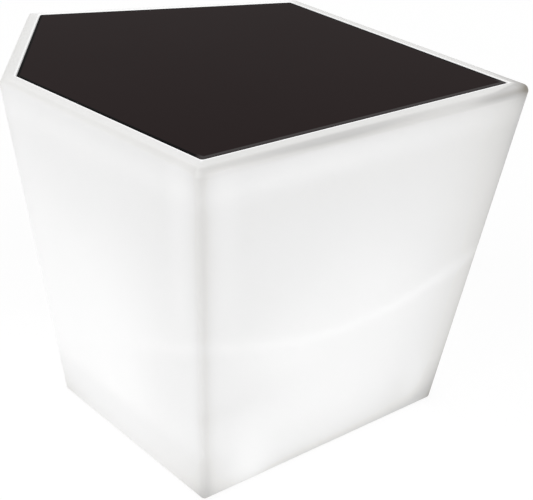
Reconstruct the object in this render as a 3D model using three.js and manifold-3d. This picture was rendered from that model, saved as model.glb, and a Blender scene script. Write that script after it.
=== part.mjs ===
// A light-up side table: a hollow five-sided shell of white plastic that narrows towards the floor,
// a sheet of black glass let into its rim, and a battery lamp unit under a round opening in its floor.
// Millimetres, +Z up. The origin lies on the floor under the middle of the rim.

import * as THREE from 'three';
import { mergeVertices } from 'three/addons/utils/BufferGeometryUtils.js';
import Module from 'manifold-3d';

const wasm = await Module();
wasm.setup();

// Table as a whole. Places on the rim are shares of its length and depth, from its middle.
const tableHeight = 450;
const rimLength = 645;
const rimDepth = 662;
const rimCornerShares = [
  [-0.064, -0.5],
  [0.5, -0.1235],
  [0.103, 0.5],
  [-0.5, 0.377],
  [-0.4465, -0.0895],
];
const taperAxisShares = [-0.158, 0.002];
const baseScaleShare = 0.814;

// Clearances: between a piece and its seat, and past the far side of a cut
const seatGap = 0.3;
const cutOverrun = 1;

// Shell
const wall = 5;
const cornerRadius = 6;
const rimEdgeRadius = 9;
const baseEdgeRadius = 5;
const innerEdgeRadius = 5;
const leastRadius = 0.5;
const bossCover = 2.5;
const rimWidth = 20;

// Glass top and its pads
const glassThickness = 6;
const glassSink = 0.4;
const glassClearance = 1;
const glassCornerRadius = 3;
const glassArris = 0.8;
const padThickness = 1.5;
const padRadius = 7;
const padInset = 32;

// Feet
const footProud = 3;
const footPocketDepth = 5;
const footRadius = 16;
const footChamfer = 1.2;
const footInset = 42;
const footBossWall = 5.5;
const footBoreDepth = 4;
const footHeadRoom = 0.8;
const footScrewRadius = 2.1;
const footScrewHeadRadius = 4.4;
const footScrewHeadHeight = 2.6;
const footScrewGrip = 7.5;

// Lamp seat in the shell's floor
const lampSeatWidth = 16;
const lampRecessDepth = 6;
const lampBossWall = 8;
const gasketThickness = 1.5;

// Vent plug in the shell's floor
const ventRadius = 5;
const ventHeadRadius = 8.5;
const ventHeadThickness = 1.6;
const ventLip = 1;
const ventPlaceShare = 0.56;

// Lamp housing
const housingClearance = 1.5;
const housingWall = 3;
const flangeThickness = 3.5;
const housingRoom = 5.5;
const deckPlace = 5.5;
const deckGap = 5;
const plateRoom = 9.6;
const ledgeWidth = 3.5;
const ledgeThickness = 2;
const ledgeDrop = 6;
const postRadius = 3.6;

// Screws and inserts that hold the lamp unit
const housingScrewCount = 4;
const housingScrewRadius = 2;
const housingScrewHeadRadius = 3.8;
const housingScrewHeadHeight = 2.4;
const counterboreDepth = 2;
const insertRadius = 3.2;
const insertLength = 6.4;
const insertGroove = 0.4;
const screwEndGap = 0.6;
const socketDepthShare = 0.55;
const socketRadiusShare = 0.4;

// Control well in the underside of the housing
const wellEndRoom = 5.5;
const wellSideRoom = 6.4;
const wellDepth = 5;

// Control board and what it carries
const boardLength = 70;
const boardWidth = 45;
const boardThickness = 1.6;
const boardPostInset = 4;
const boardScrewRadius = 1.2;
const boardScrewHeadRadius = 2.4;
const boardScrewHeadHeight = 1.6;
const boardScrewGrip = 5;
const chipSide = 11;
const chipHeight = 1.5;
const chipPlace = [2, 3];
const radioLength = 18;
const radioWidth = 13;
const radioHeight = 2.8;
const radioInset = 17;
const radioOffset = -9;
const connectorLength = 7;
const connectorWidth = 12;
const connectorHeight = 6;
const connectorInset = 10;
const connectorOffset = 1;

// Power button and its switch
const buttonPlace = -20;
const buttonRadius = 6.5;
const buttonProud = 2;
const buttonDish = 0.6;
const buttonRetainer = 1.6;
const buttonRetainerThickness = 1.2;
const buttonStemRadius = 1.6;
const buttonStemLength = 0.7;
const buttonTravel = 1;
const switchSide = 6;
const switchHeight = 2.7;
const plungerRadius = 1.6;
const plungerSpare = 0.5;
const plungerEngagement = 0.9;

// Charging socket, its cap and the cap's hinge pin
const socketPlace = 13;
const socketBodySide = 10;
const socketNeckRadius = 4.3;
const socketNeckProud = 1;
const socketBoreRadius = 2.85;
const socketBoreDepth = 8.5;
const socketPinRadius = 1;
const socketPinSink = 2.6;
const capRadius = 6.6;
const capThickness = 1.6;
const capNubRadius = 2.3;
const capNubBoreRadius = 1.4;
const capNubLength = 1.8;
const capReach = 10;
const capWebWidth = 5;
const hingePinRadius = 0.8;
const hingeBarrelWall = 0.6;
const hingeBarrelLength = 7.4;
const hingeEarThickness = 1.8;
const hingeEarLength = 4.4;
const hingeEarDrop = 1;

// Status lens
const lensPlace = -5;
const lensRadius = 1.6;
const lensProud = 0.5;
const lensCollar = 0.9;
const lensCollarThickness = 1;

// Battery
const cellCount = 3;
const cellRadius = 9.2;
const cellLength = 65;
const cellGap = 0.6;
const cellNubRadius = 2.8;
const cellNubLength = 1.2;
const trayWall = 2;
const trayEndRoom = 2.5;
const traySideRoom = 0.8;
const trayDepthShare = 0.72;

// Light source
const plateThickness = 2;
const plateClearance = 0.5;
const plateScrewRadius = 1.4;
const plateScrewHeadRadius = 2.8;
const plateScrewHeadHeight = 1.8;
const plateScrewGrip = 8;
const ledCount = 8;
const ledRingShare = 0.6;
const ledSide = 5;
const ledBaseHeight = 1.2;
const ledLensRadius = 2.1;

// Dome over the light source
const sealThickness = 1;
const domeWall = 2;
const domeRise = 28;
const domeFlangeThickness = 2;

// Inner leads
const leadRadius = 1.2;
const leadBow = 6;

// Fineness of round surfaces
const cornerSteps = 5;
const edgeSteps = 4;
const hollowSteps = 2;
const domeSteps = 7;
const largeSides = 36;
const mediumSides = 16;
const smallSides = 10;
const leadSteps = 10;
const leadSides = 8;
const hexSides = 6;

// Levels of the shell, its feet and its glass, from the floor up
const shellBottom = footProud;
const floorTop = shellBottom + wall;
const footPocketTop = shellBottom + footPocketDepth;
const lampSeat = shellBottom + lampRecessDepth;
const bossTop = Math.max(lampSeat + insertLength, footPocketTop + footScrewGrip) + bossCover;
const glassTopLevel = tableHeight - glassSink;
const glassBottomLevel = glassTopLevel - glassThickness;
const padTopLevel = glassBottomLevel - seatGap;
const padBottomLevel = padTopLevel - padThickness;
const shelfTop = padBottomLevel - seatGap;
const shelfBottom = shelfTop - wall;

// Levels of the housing's floor, its control well and the controls above it
const gasketBottom = lampSeat - seatGap - gasketThickness;
const flangeTop = gasketBottom - seatGap;
const housingBottom = flangeTop - flangeThickness;
const housingFloorTop = housingBottom + housingWall;
const wellCeiling = housingBottom + wellDepth;
const wellRoofTop = wellCeiling + housingWall;
const retainerBottom = wellRoofTop + seatGap;
const retainerTop = retainerBottom + buttonRetainerThickness;
const stemTop = retainerTop + buttonStemLength;
const plungerBottom = stemTop + seatGap;
const switchBottom = plungerBottom + buttonTravel + plungerSpare;
const plungerTop = switchBottom + plungerEngagement;
const switchTop = switchBottom + switchHeight;
const boardBottom = switchTop + seatGap;
const boardTop = boardBottom + boardThickness;
const connectorBottom = boardTop + seatGap;
const connectorTop = connectorBottom + connectorHeight;

// Levels of the battery
const trayBottom = housingFloorTop + seatGap;
const trayFloorTop = trayBottom + trayWall;
const trayTop = trayFloorTop + cellRadius * 2 * trayDepthShare;
const cellLevel = trayFloorTop + seatGap + cellRadius;

// Levels of the light source and its dome
const ledgeTop = Math.max(cellLevel + cellRadius, connectorTop) + plateRoom;
const housingTop = ledgeTop + ledgeDrop;
const plateBottom = ledgeTop + seatGap;
const plateTop = plateBottom + plateThickness;
const sealBottom = housingTop + seatGap;
const domeFlangeBottom = sealBottom + sealThickness + seatGap;
const domeFlangeTop = domeFlangeBottom + domeFlangeThickness;

// Plan of the lamp unit: the tray and the board lie on either side of the deck line
const cellPitch = cellRadius * 2 + cellGap;
const trayInnerLength = cellLength + cellNubLength + trayEndRoom * 2;
const trayInnerWidth = cellPitch * (cellCount - 1) + cellRadius * 2 + traySideRoom * 2;
const trayOuterLength = trayInnerLength + trayWall * 2;
const trayOuterWidth = trayInnerWidth + trayWall * 2;
const trayOffset = deckPlace - (deckGap + trayOuterWidth) / 2;
const boardOffset = deckPlace + (deckGap + boardWidth) / 2;
const trayReach = Math.hypot(trayOuterLength / 2, trayOffset - trayOuterWidth / 2);
const boardReach = Math.hypot(boardLength / 2, boardOffset + boardWidth / 2);
const housingInnerRadius = Math.max(trayReach, boardReach) + housingRoom;
const housingRadius = housingInnerRadius + housingWall;
const openingRadius = housingRadius + housingClearance;
const lampRecessRadius = openingRadius + lampSeatWidth;
const flangeRadius = lampRecessRadius - seatGap * 2;
const housingScrewCircle = openingRadius + lampSeatWidth / 2;
const plateRadius = housingInnerRadius - plateClearance;
const plateScrewPlace = housingInnerRadius - ledgeWidth - postRadius * 2;
const hingePlace = socketPlace + capReach;
const wellReach = Math.max(Math.abs(buttonPlace) + buttonRadius, hingePlace + hingeEarLength / 2);
const wellLength = (wellReach + wellEndRoom) * 2;
const wellWidth = (capRadius + wellSideRoom) * 2;

// Materials
const white = { color: 0xf4f4f0, roughness: 0.5, metalness: 0 };
const materials = {
  shell: new THREE.MeshStandardMaterial({ ...white, emissive: 0xf0f0ec, emissiveIntensity: 0.6 }),
  glass: new THREE.MeshStandardMaterial({ color: 0x2c2727, roughness: 0.12, metalness: 0 }),
  whitePlastic: new THREE.MeshStandardMaterial(white),
  clearSilicone: new THREE.MeshStandardMaterial({ color: 0xdfe3e2, roughness: 0.35, metalness: 0 }),
  blackRubber: new THREE.MeshStandardMaterial({ color: 0x232323, roughness: 0.85, metalness: 0 }),
  greyRubber: new THREE.MeshStandardMaterial({ color: 0x6b6e70, roughness: 0.8, metalness: 0 }),
  blackPlastic: new THREE.MeshStandardMaterial({ color: 0x1d1e20, roughness: 0.5, metalness: 0 }),
  steel: new THREE.MeshStandardMaterial({ color: 0xb9bcc0, roughness: 0.3, metalness: 1 }),
  brass: new THREE.MeshStandardMaterial({ color: 0xb08d4a, roughness: 0.35, metalness: 1 }),
  aluminium: new THREE.MeshStandardMaterial({ color: 0xc9ccce, roughness: 0.4, metalness: 1 }),
  boardGreen: new THREE.MeshStandardMaterial({ color: 0x1f5a3a, roughness: 0.45, metalness: 0 }),
  cellBlue: new THREE.MeshStandardMaterial({ color: 0x2f6fa8, roughness: 0.4, metalness: 0 }),
  ledYellow: new THREE.MeshStandardMaterial({ color: 0xf2e2a0, roughness: 0.3, metalness: 0 }),
  frosted: new THREE.MeshStandardMaterial({ color: 0xeef0f0, roughness: 0.6, metalness: 0 }),
  wireRed: new THREE.MeshStandardMaterial({ color: 0xa5282a, roughness: 0.5, metalness: 0 }),
};

const table = new THREE.Group();

// A closed geometry as a solid: shared points are merged and triangles without area dropped.
function solidOf(geometry) {
  const bare = geometry.clone();
  bare.deleteAttribute('normal');
  bare.deleteAttribute('uv');
  const merged = mergeVertices(bare);
  const index = merged.index.array;
  const triVerts = [];
  for (let i = 0; i < index.length; i += 3) {
    const [a, b, c] = index.subarray(i, i + 3);
    if (a !== b && b !== c && c !== a) {
      triVerts.push(a, b, c);
    }
  }
  const vertProperties = new Float32Array(merged.attributes.position.array);
  const mesh = new wasm.Mesh({ numProp: 3, vertProperties, triVerts: new Uint32Array(triVerts) });
  return new wasm.Manifold(mesh);
}

function geometryOf(solid) {
  const mesh = solid.getMesh();
  const geometry = new THREE.BufferGeometry();
  geometry.setAttribute('position', new THREE.BufferAttribute(new Float32Array(mesh.vertProperties), 3));
  geometry.setIndex(new THREE.BufferAttribute(new Uint32Array(mesh.triVerts), 1));
  geometry.computeVertexNormals();
  return geometry;
}

function joined(first, ...others) {
  return others.reduce((whole, other) => whole.add(other), first);
}

function without(solid, ...cuts) {
  return cuts.reduce((rest, cut) => rest.subtract(cut), solid);
}

function addPiece(name, solid, material) {
  const mesh = new THREE.Mesh(geometryOf(solid), material);
  mesh.name = name;
  table.add(mesh);
}

// A profile of [radius, height] points, in order round its outer side upwards, turned about the Z axis.
// A profile that does not end on the axis is closed back to its first point.
function turned(profile, sides, place = new THREE.Vector2()) {
  const points = profile.map(([radius, height]) => new THREE.Vector2(radius, height));
  if (profile[0][0] !== 0) {
    points.push(points[0].clone());
  }
  const geometry = new THREE.LatheGeometry(points, sides);
  geometry.rotateX(Math.PI / 2);
  geometry.translate(place.x, place.y, 0);
  return solidOf(geometry);
}

function rod(radius, bottom, top, sides, place = new THREE.Vector2()) {
  const geometry = new THREE.CylinderGeometry(radius, radius, top - bottom, sides);
  geometry.rotateX(Math.PI / 2);
  geometry.translate(place.x, place.y, (bottom + top) / 2);
  return solidOf(geometry);
}

function block(length, width, bottom, top, place = new THREE.Vector2()) {
  const geometry = new THREE.BoxGeometry(length, width, top - bottom);
  geometry.translate(place.x, place.y, (bottom + top) / 2);
  return solidOf(geometry);
}

// A slot with round ends, its length along X
function slot(length, width, bottom, top, place) {
  const shape = new THREE.Shape();
  const end = (length - width) / 2;
  shape.absarc(end, 0, width / 2, -Math.PI / 2, Math.PI / 2);
  shape.absarc(-end, 0, width / 2, Math.PI / 2, Math.PI * 1.5);
  const options = { depth: top - bottom, bevelEnabled: false, curveSegments: smallSides / 2 };
  const geometry = new THREE.ExtrudeGeometry(shape, options);
  geometry.translate(place.x, place.y, bottom);
  return solidOf(geometry);
}

// Corners moved in so that every side lies further in by the inset
function insetCorners(corners, inset) {
  return corners.map((corner, i) => {
    const incoming = corner.clone().sub(corners.at(i - 1)).normalize();
    const outgoing = corners[(i + 1) % corners.length].clone().sub(corner).normalize();
    const inward = outgoing.clone().sub(incoming);
    return corner.clone().addScaledVector(inward, inset / incoming.cross(outgoing));
  });
}

// An outline through the corners, each rounded by an arc that touches both its sides
function roundedOutline(corners, radius, steps = cornerSteps) {
  const centres = insetCorners(corners, radius);
  return corners.flatMap((corner, i) => {
    const incoming = corner.clone().sub(corners.at(i - 1)).normalize();
    const outgoing = corners[(i + 1) % corners.length].clone().sub(corner).normalize();
    const turn = Math.atan2(incoming.cross(outgoing), incoming.dot(outgoing));
    const start = incoming.angle() - Math.PI / 2;
    return Array.from({ length: steps + 1 }, (_, step) => {
      const angle = start + (turn * step) / steps;
      const spoke = new THREE.Vector2(Math.cos(angle), Math.sin(angle));
      return centres[i].clone().addScaledVector(spoke, radius);
    });
  });
}

// A solid through a stack of outlines, from the lowest to the highest, all with as many points
function stacked(levels) {
  const count = levels[0].outline.length;
  const positions = levels.flatMap(({ outline, height }) => outline.flatMap(({ x, y }) => [x, y, height]));
  const last = (levels.length - 1) * count;
  const faces = [];
  for (let level = 0; level < levels.length - 1; level += 1) {
    for (let i = 0; i < count; i += 1) {
      const low = level * count + i;
      const lowNext = level * count + ((i + 1) % count);
      faces.push(low, lowNext, lowNext + count);
      faces.push(low, lowNext + count, low + count);
    }
  }
  for (let i = 1; i < count - 1; i += 1) {
    faces.push(0, i + 1, i);
    faces.push(last, last + i, last + i + 1);
  }
  const geometry = new THREE.BufferGeometry();
  geometry.setAttribute('position', new THREE.Float32BufferAttribute(positions, 3));
  geometry.setIndex(faces);
  return solidOf(geometry);
}

const rimCorners = rimCornerShares.map(([x, y]) => new THREE.Vector2(x * rimLength, y * rimDepth));
const taperAxis = new THREE.Vector2(taperAxisShares[0] * rimLength, taperAxisShares[1] * rimDepth);

// The shell's corners at a height: the rim's, drawn in towards the taper axis
function cornersAt(height) {
  const drop = (tableHeight - height) / (tableHeight - shellBottom);
  const scale = 1 - (1 - baseScaleShare) * drop;
  return rimCorners.map((corner) => corner.clone().sub(taperAxis).multiplyScalar(scale).add(taperAxis));
}

// A tapering body inside the shell's outer faces, with rounded upright corners and rounded edges
function taperedBody({ bottom, top, inset, upright, bottomEdge, topEdge, steps }) {
  const level = (height, edgeInset) => {
    const corners = insetCorners(cornersAt(height), inset + edgeInset);
    const radius = Math.max(upright - edgeInset, leastRadius);
    return { height, outline: roundedOutline(corners, radius, steps + 1) };
  };
  const levels = [];
  for (let step = 0; step <= steps; step += 1) {
    const angle = (Math.PI / 2) * (step / steps);
    levels.push(level(bottom + bottomEdge * (1 - Math.cos(angle)), bottomEdge * (1 - Math.sin(angle))));
  }
  for (let step = steps; step >= 0; step -= 1) {
    const angle = (Math.PI / 2) * (step / steps);
    levels.push(level(top - topEdge * (1 - Math.cos(angle)), topEdge * (1 - Math.sin(angle))));
  }
  return stacked(levels);
}

const baseCorners = cornersAt(shellBottom);
const footPlaces = insetCorners(baseCorners, footInset);
const lampAxis = baseCorners
  .reduce((sum, corner) => sum.add(corner), new THREE.Vector2())
  .divideScalar(baseCorners.length);

function placesOnCircle(count, radius) {
  return Array.from({ length: count }, (_, i) => {
    const angle = (Math.PI * 2 * (i + 0.5)) / count;
    return lampAxis.clone().add(new THREE.Vector2(Math.cos(angle), Math.sin(angle)).multiplyScalar(radius));
  });
}

const fromLampAxis = (x, y) => new THREE.Vector2(x, y).add(lampAxis);
const housingScrewPlaces = placesOnCircle(housingScrewCount, housingScrewCircle);
const ventPlace = lampAxis.clone().lerp(footPlaces[1], ventPlaceShare);

// Shell: outer body less its hollow, with bosses on its floor for the feet and the lamp unit,
// then the recess for the glass, the pockets for the feet and the lamp's stepped opening
function makeShell() {
  const outer = taperedBody({
    bottom: shellBottom,
    top: tableHeight,
    inset: 0,
    upright: cornerRadius,
    bottomEdge: baseEdgeRadius,
    topEdge: rimEdgeRadius,
    steps: edgeSteps,
  });
  const hollow = taperedBody({
    bottom: floorTop,
    top: shelfBottom,
    inset: wall,
    upright: Math.max(cornerRadius - wall, innerEdgeRadius),
    bottomEdge: innerEdgeRadius,
    topEdge: innerEdgeRadius,
    steps: hollowSteps,
  });
  const midFloor = (shellBottom + floorTop) / 2;
  const footBossRadius = footRadius + seatGap + footBossWall;
  const footBosses = footPlaces.map((place) => rod(footBossRadius, midFloor, bossTop, mediumSides, place));
  const lampBoss = rod(lampRecessRadius + lampBossWall, midFloor, bossTop, largeSides, lampAxis);
  const recessCorners = insetCorners(rimCorners, rimWidth - glassClearance);
  const recessOutline = roundedOutline(recessCorners, glassCornerRadius + glassClearance);
  const recess = stacked([
    { height: shelfTop, outline: recessOutline },
    { height: tableHeight + cutOverrun, outline: recessOutline },
  ]);
  const low = shellBottom - cutOverrun;
  const pocketRadius = footRadius + seatGap;
  const pockets = footPlaces.map((place) => rod(pocketRadius, low, footPocketTop, mediumSides, place));
  const screwHoleTop = footPocketTop + footScrewGrip + seatGap;
  const screwHoleRadius = footScrewRadius + seatGap;
  const screwHoles = footPlaces.map((place) => rod(screwHoleRadius, low, screwHoleTop, smallSides, place));
  const lampRecess = rod(lampRecessRadius, low, lampSeat, largeSides, lampAxis);
  const opening = rod(openingRadius, low, bossTop + cutOverrun, largeSides, lampAxis);
  const insertTop = lampSeat + insertLength + seatGap;
  const insertHoles = housingScrewPlaces.map((place) =>
    rod(insertRadius + seatGap, low, insertTop, smallSides, place),
  );
  const vent = rod(ventRadius, low, floorTop + cutOverrun, smallSides, ventPlace);
  const body = joined(without(outer, hollow), ...footBosses, lampBoss);
  return without(body, recess, ...pockets, ...screwHoles, lampRecess, opening, ...insertHoles, vent);
}

// Glass sheet with an arris ground on its top and bottom edges
function makeGlass() {
  const level = (height, inset) => {
    const corners = insetCorners(rimCorners, rimWidth + inset);
    return { height, outline: roundedOutline(corners, Math.max(glassCornerRadius - inset, leastRadius)) };
  };
  return stacked([
    level(glassBottomLevel, glassArris),
    level(glassBottomLevel + glassArris, 0),
    level(glassTopLevel - glassArris, 0),
    level(glassTopLevel, glassArris),
  ]);
}

// Foot: a rubber disc with a chamfered tread and a bore that hides the screw head
function makeFoot(place) {
  const top = footPocketTop - seatGap;
  const hole = footScrewRadius + seatGap;
  const footBoreRadius = footScrewHeadRadius + footHeadRoom;
  return turned(
    [
      [footBoreRadius, 0],
      [footRadius - footChamfer, 0],
      [footRadius, footChamfer],
      [footRadius, top],
      [hole, top],
      [hole, footBoreDepth],
      [footBoreRadius, footBoreDepth],
    ],
    mediumSides,
    place,
  );
}

// Screw that points up: a flat head with a hexagon socket, its top face at headTop, and a plain shank
function makeScrew(place, headRadius, headHeight, shankRadius, headTop, shankTop) {
  const headBottom = headTop - headHeight;
  const body = turned(
    [
      [0, headBottom],
      [headRadius, headBottom],
      [headRadius, headTop],
      [shankRadius, headTop],
      [shankRadius, shankTop],
      [0, shankTop],
    ],
    smallSides,
    place,
  );
  const socketTop = headBottom + headHeight * socketDepthShare;
  const socket = rod(headRadius * socketRadiusShare, headBottom - cutOverrun, socketTop, hexSides, place);
  return without(body, socket);
}

// Screw that points down, with its head above
function makeDownScrew(place, headRadius, headHeight, shankRadius, headBottom, shankBottom) {
  const headTop = headBottom + headHeight;
  const body = turned(
    [
      [0, shankBottom],
      [shankRadius, shankBottom],
      [shankRadius, headBottom],
      [headRadius, headBottom],
      [headRadius, headTop],
      [0, headTop],
    ],
    smallSides,
    place,
  );
  const socketBottom = headTop - headHeight * socketDepthShare;
  const socket = rod(headRadius * socketRadiusShare, socketBottom, headTop + cutOverrun, hexSides, place);
  return without(body, socket);
}

// Brass insert with a groove round its middle
function makeInsert(place) {
  const bore = housingScrewRadius + seatGap;
  const third = insertLength / 3;
  return turned(
    [
      [bore, lampSeat],
      [insertRadius, lampSeat],
      [insertRadius, lampSeat + third],
      [insertRadius - insertGroove, lampSeat + third + insertGroove],
      [insertRadius - insertGroove, lampSeat + third * 2 - insertGroove],
      [insertRadius, lampSeat + third * 2],
      [insertRadius, lampSeat + insertLength],
      [bore, lampSeat + insertLength],
    ],
    smallSides,
    place,
  );
}

// Flat ring between the housing's flange and the shell, holed for the screws
function makeGasket() {
  const top = gasketBottom + gasketThickness;
  const ring = without(
    rod(flangeRadius, gasketBottom, top, largeSides, lampAxis),
    rod(openingRadius, gasketBottom - cutOverrun, top + cutOverrun, largeSides, lampAxis),
  );
  const holes = housingScrewPlaces.map((place) =>
    rod(housingScrewRadius + seatGap, gasketBottom - cutOverrun, top + cutOverrun, smallSides, place),
  );
  return without(ring, ...holes);
}

// Places of the board's posts and of what the board carries, from the lamp axis
const boardPostPlaces = [
  [-1, -1],
  [1, -1],
  [1, 1],
  [-1, 1],
].map(([x, y]) =>
  fromLampAxis(x * (boardLength / 2 - boardPostInset), boardOffset + y * (boardWidth / 2 - boardPostInset)),
);
const boardScrewPlaces = [boardPostPlaces[0], boardPostPlaces[2]];
const plateScrewPlaces = [fromLampAxis(-plateScrewPlace, 0), fromLampAxis(plateScrewPlace, 0)];
const onBoard = ([x, y]) => fromLampAxis(x, boardOffset + y);
const buttonAxis = fromLampAxis(buttonPlace, boardOffset);
const socketAxis = fromLampAxis(socketPlace, boardOffset);
const lensAxis = fromLampAxis(lensPlace, boardOffset);
const wellAxis = fromLampAxis(0, boardOffset);
const radioPlace = onBoard([boardLength / 2 - radioInset, radioOffset]);
const connectorPlace = onBoard([connectorInset - boardLength / 2, connectorOffset]);
const neckBottom = wellCeiling - socketNeckProud;
const capTop = neckBottom - seatGap;
const hingeLevel = capTop - capThickness / 2;
const hingeBarrelRadius = hingePinRadius + seatGap + hingeBarrelWall;
const hingeAxis = fromLampAxis(hingePlace, boardOffset);
const earInner = hingeBarrelLength / 2 + seatGap;
const earOuter = earInner + hingeEarThickness;

// A rod along Y at the cap's hinge, from one distance off the hinge's middle to another
function hingeRod(radius, from, to) {
  const geometry = new THREE.CylinderGeometry(radius, radius, to - from, smallSides);
  geometry.translate(hingeAxis.x, hingeAxis.y + (from + to) / 2, hingeLevel);
  return solidOf(geometry);
}

// Lamp housing: a cup with a flange, a ledge for the light plate, posts, and a well for the controls
function makeHousing() {
  const ledgeRadius = housingInnerRadius - ledgeWidth;
  const ledgeUnderside = ledgeTop - ledgeThickness;
  const cup = turned(
    [
      [0, housingBottom],
      [flangeRadius, housingBottom],
      [flangeRadius, flangeTop],
      [housingRadius, flangeTop],
      [housingRadius, housingTop],
      [housingInnerRadius, housingTop],
      [housingInnerRadius, ledgeTop],
      [ledgeRadius, ledgeTop],
      [ledgeRadius, ledgeUnderside],
      [housingInnerRadius, ledgeUnderside - ledgeWidth],
      [housingInnerRadius, housingFloorTop],
      [0, housingFloorTop],
    ],
    largeSides,
    lampAxis,
  );
  const midFloor = (housingBottom + housingFloorTop) / 2;
  const wallsLength = wellLength + housingWall * 2;
  const wallsWidth = wellWidth + housingWall * 2;
  const wellWalls = slot(wallsLength, wallsWidth, midFloor, wellRoofTop, wellAxis);
  const boardPostTop = boardBottom - seatGap;
  const boardPosts = boardPostPlaces.map((place) =>
    rod(postRadius, midFloor, boardPostTop, smallSides, place),
  );
  const platePosts = plateScrewPlaces.map((place) => rod(postRadius, midFloor, ledgeTop, smallSides, place));
  const well = slot(wellLength, wellWidth, housingBottom - cutOverrun, wellCeiling, wellAxis);
  const high = wellRoofTop + cutOverrun;
  const buttonHole = rod(buttonRadius + seatGap, housingBottom, high, mediumSides, buttonAxis);
  const neckHole = rod(socketNeckRadius + seatGap, housingBottom, high, mediumSides, socketAxis);
  const lensHole = rod(lensRadius + seatGap, housingBottom, high, smallSides, lensAxis);
  const flangeHoles = housingScrewPlaces.flatMap((place) => [
    rod(housingScrewRadius + seatGap, housingBottom - cutOverrun, flangeTop + cutOverrun, smallSides, place),
    rod(
      housingScrewHeadRadius + seatGap,
      housingBottom - cutOverrun,
      housingBottom + counterboreDepth,
      smallSides,
      place,
    ),
  ]);
  const boardScrewHoles = boardScrewPlaces.map((place) =>
    rod(boardScrewRadius + seatGap, boardBottom - boardScrewGrip - seatGap, boardBottom, smallSides, place),
  );
  const plateScrewHoles = plateScrewPlaces.map((place) =>
    rod(plateScrewRadius + seatGap, plateBottom - plateScrewGrip - seatGap, plateBottom, smallSides, place),
  );
  const earBottom = hingeLevel - hingeBarrelRadius - hingeEarDrop;
  const earPlace = (earInner + earOuter) / 2;
  const ears = [-earPlace, earPlace].map((y) =>
    block(
      hingeEarLength,
      hingeEarThickness,
      earBottom,
      wellCeiling + housingWall / 2,
      hingeAxis.clone().add(new THREE.Vector2(0, y)),
    ),
  );
  const pinHole = hingeRod(hingePinRadius + seatGap, -earOuter - cutOverrun, earOuter + cutOverrun);
  const hollowed = without(
    joined(cup, wellWalls, ...boardPosts, ...platePosts),
    well,
    buttonHole,
    neckHole,
    lensHole,
    ...flangeHoles,
    ...boardScrewHoles,
    ...plateScrewHoles,
  );
  return joined(hollowed, ...ears.map((ear) => ear.subtract(pinHole)));
}

// Power button: a cap with a dished face, a retainer behind the well's roof and a short stem
function makeButton() {
  const face = wellCeiling - buttonProud;
  return turned(
    [
      [0, face + buttonDish],
      [buttonRadius - buttonDish * 2, face],
      [buttonRadius - buttonDish, face],
      [buttonRadius, face + buttonDish],
      [buttonRadius, retainerBottom],
      [buttonRadius + buttonRetainer, retainerBottom],
      [buttonRadius + buttonRetainer, retainerTop],
      [buttonStemRadius, retainerTop],
      [buttonStemRadius, stemTop],
      [0, stemTop],
    ],
    mediumSides,
    buttonAxis,
  );
}

// Switch body under the board, with a bore deep enough for its plunger's travel
function makeSwitch() {
  const body = block(switchSide, switchSide, switchBottom, switchTop, buttonAxis);
  const boreTop = plungerTop + buttonTravel + seatGap;
  const bore = rod(plungerRadius + seatGap, switchBottom - cutOverrun, boreTop, smallSides, buttonAxis);
  return without(body, bore);
}

// Charging socket: a square body and a round neck, bored for the plug, with a centre pin
function makeSocket() {
  const bodyBottom = wellRoofTop + seatGap;
  const boreTop = neckBottom + socketBoreDepth;
  const body = block(socketBodySide, socketBodySide, bodyBottom, switchTop, socketAxis);
  const neck = rod(socketNeckRadius, neckBottom, bodyBottom + housingWall / 2, mediumSides, socketAxis);
  const bore = rod(socketBoreRadius, neckBottom - cutOverrun, boreTop, mediumSides, socketAxis);
  const pinBottom = neckBottom + socketPinSink;
  const pin = rod(socketPinRadius, pinBottom, boreTop + housingWall / 3, smallSides, socketAxis);
  return joined(without(joined(body, neck), bore), pin);
}

// Rubber cap: a disc with a hollow nub for the socket, a web and a barrel round the hinge pin
function makeCap() {
  const bottom = capTop - capThickness;
  const disc = rod(capRadius, bottom, capTop, mediumSides, socketAxis);
  const nub = rod(capNubRadius, capTop - capThickness / 2, capTop + capNubLength, smallSides, socketAxis);
  const nubBore = rod(capNubBoreRadius, capTop, capTop + capNubLength + cutOverrun, smallSides, socketAxis);
  const webPlace = socketAxis.clone().add(new THREE.Vector2(capReach / 2, 0));
  const web = block(capReach, capWebWidth, bottom, capTop, webPlace);
  const barrel = hingeRod(hingeBarrelRadius, -hingeBarrelLength / 2, hingeBarrelLength / 2);
  const pinBore = hingeRod(hingePinRadius + seatGap, -hingeBarrelLength, hingeBarrelLength);
  return without(joined(disc, nub, web, barrel), nubBore, pinBore);
}

// Light pipe from the board through the well's roof, with a collar that rests on the roof
function makeLens() {
  const bottom = wellCeiling - lensProud;
  const collarBottom = wellRoofTop + seatGap;
  const collarTop = collarBottom + lensCollarThickness;
  return turned(
    [
      [0, bottom],
      [lensRadius, bottom],
      [lensRadius, collarBottom],
      [lensRadius + lensCollar, collarBottom],
      [lensRadius + lensCollar, collarTop],
      [lensRadius, collarTop],
      [lensRadius, switchTop],
      [0, switchTop],
    ],
    smallSides,
    lensAxis,
  );
}

// Control board, holed for its two screws
function makeBoard() {
  const board = block(boardLength, boardWidth, boardBottom, boardTop, wellAxis);
  const holes = boardScrewPlaces.map((place) =>
    rod(boardScrewRadius + seatGap, boardBottom - cutOverrun, boardTop + cutOverrun, smallSides, place),
  );
  return without(board, ...holes);
}

const trayPlace = fromLampAxis(0, trayOffset);

// Open tray that holds the cells side by side
function makeTray() {
  return without(
    block(trayOuterLength, trayOuterWidth, trayBottom, trayTop, trayPlace),
    block(trayInnerLength, trayInnerWidth, trayFloorTop, trayTop + cutOverrun, trayPlace),
  );
}

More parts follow.
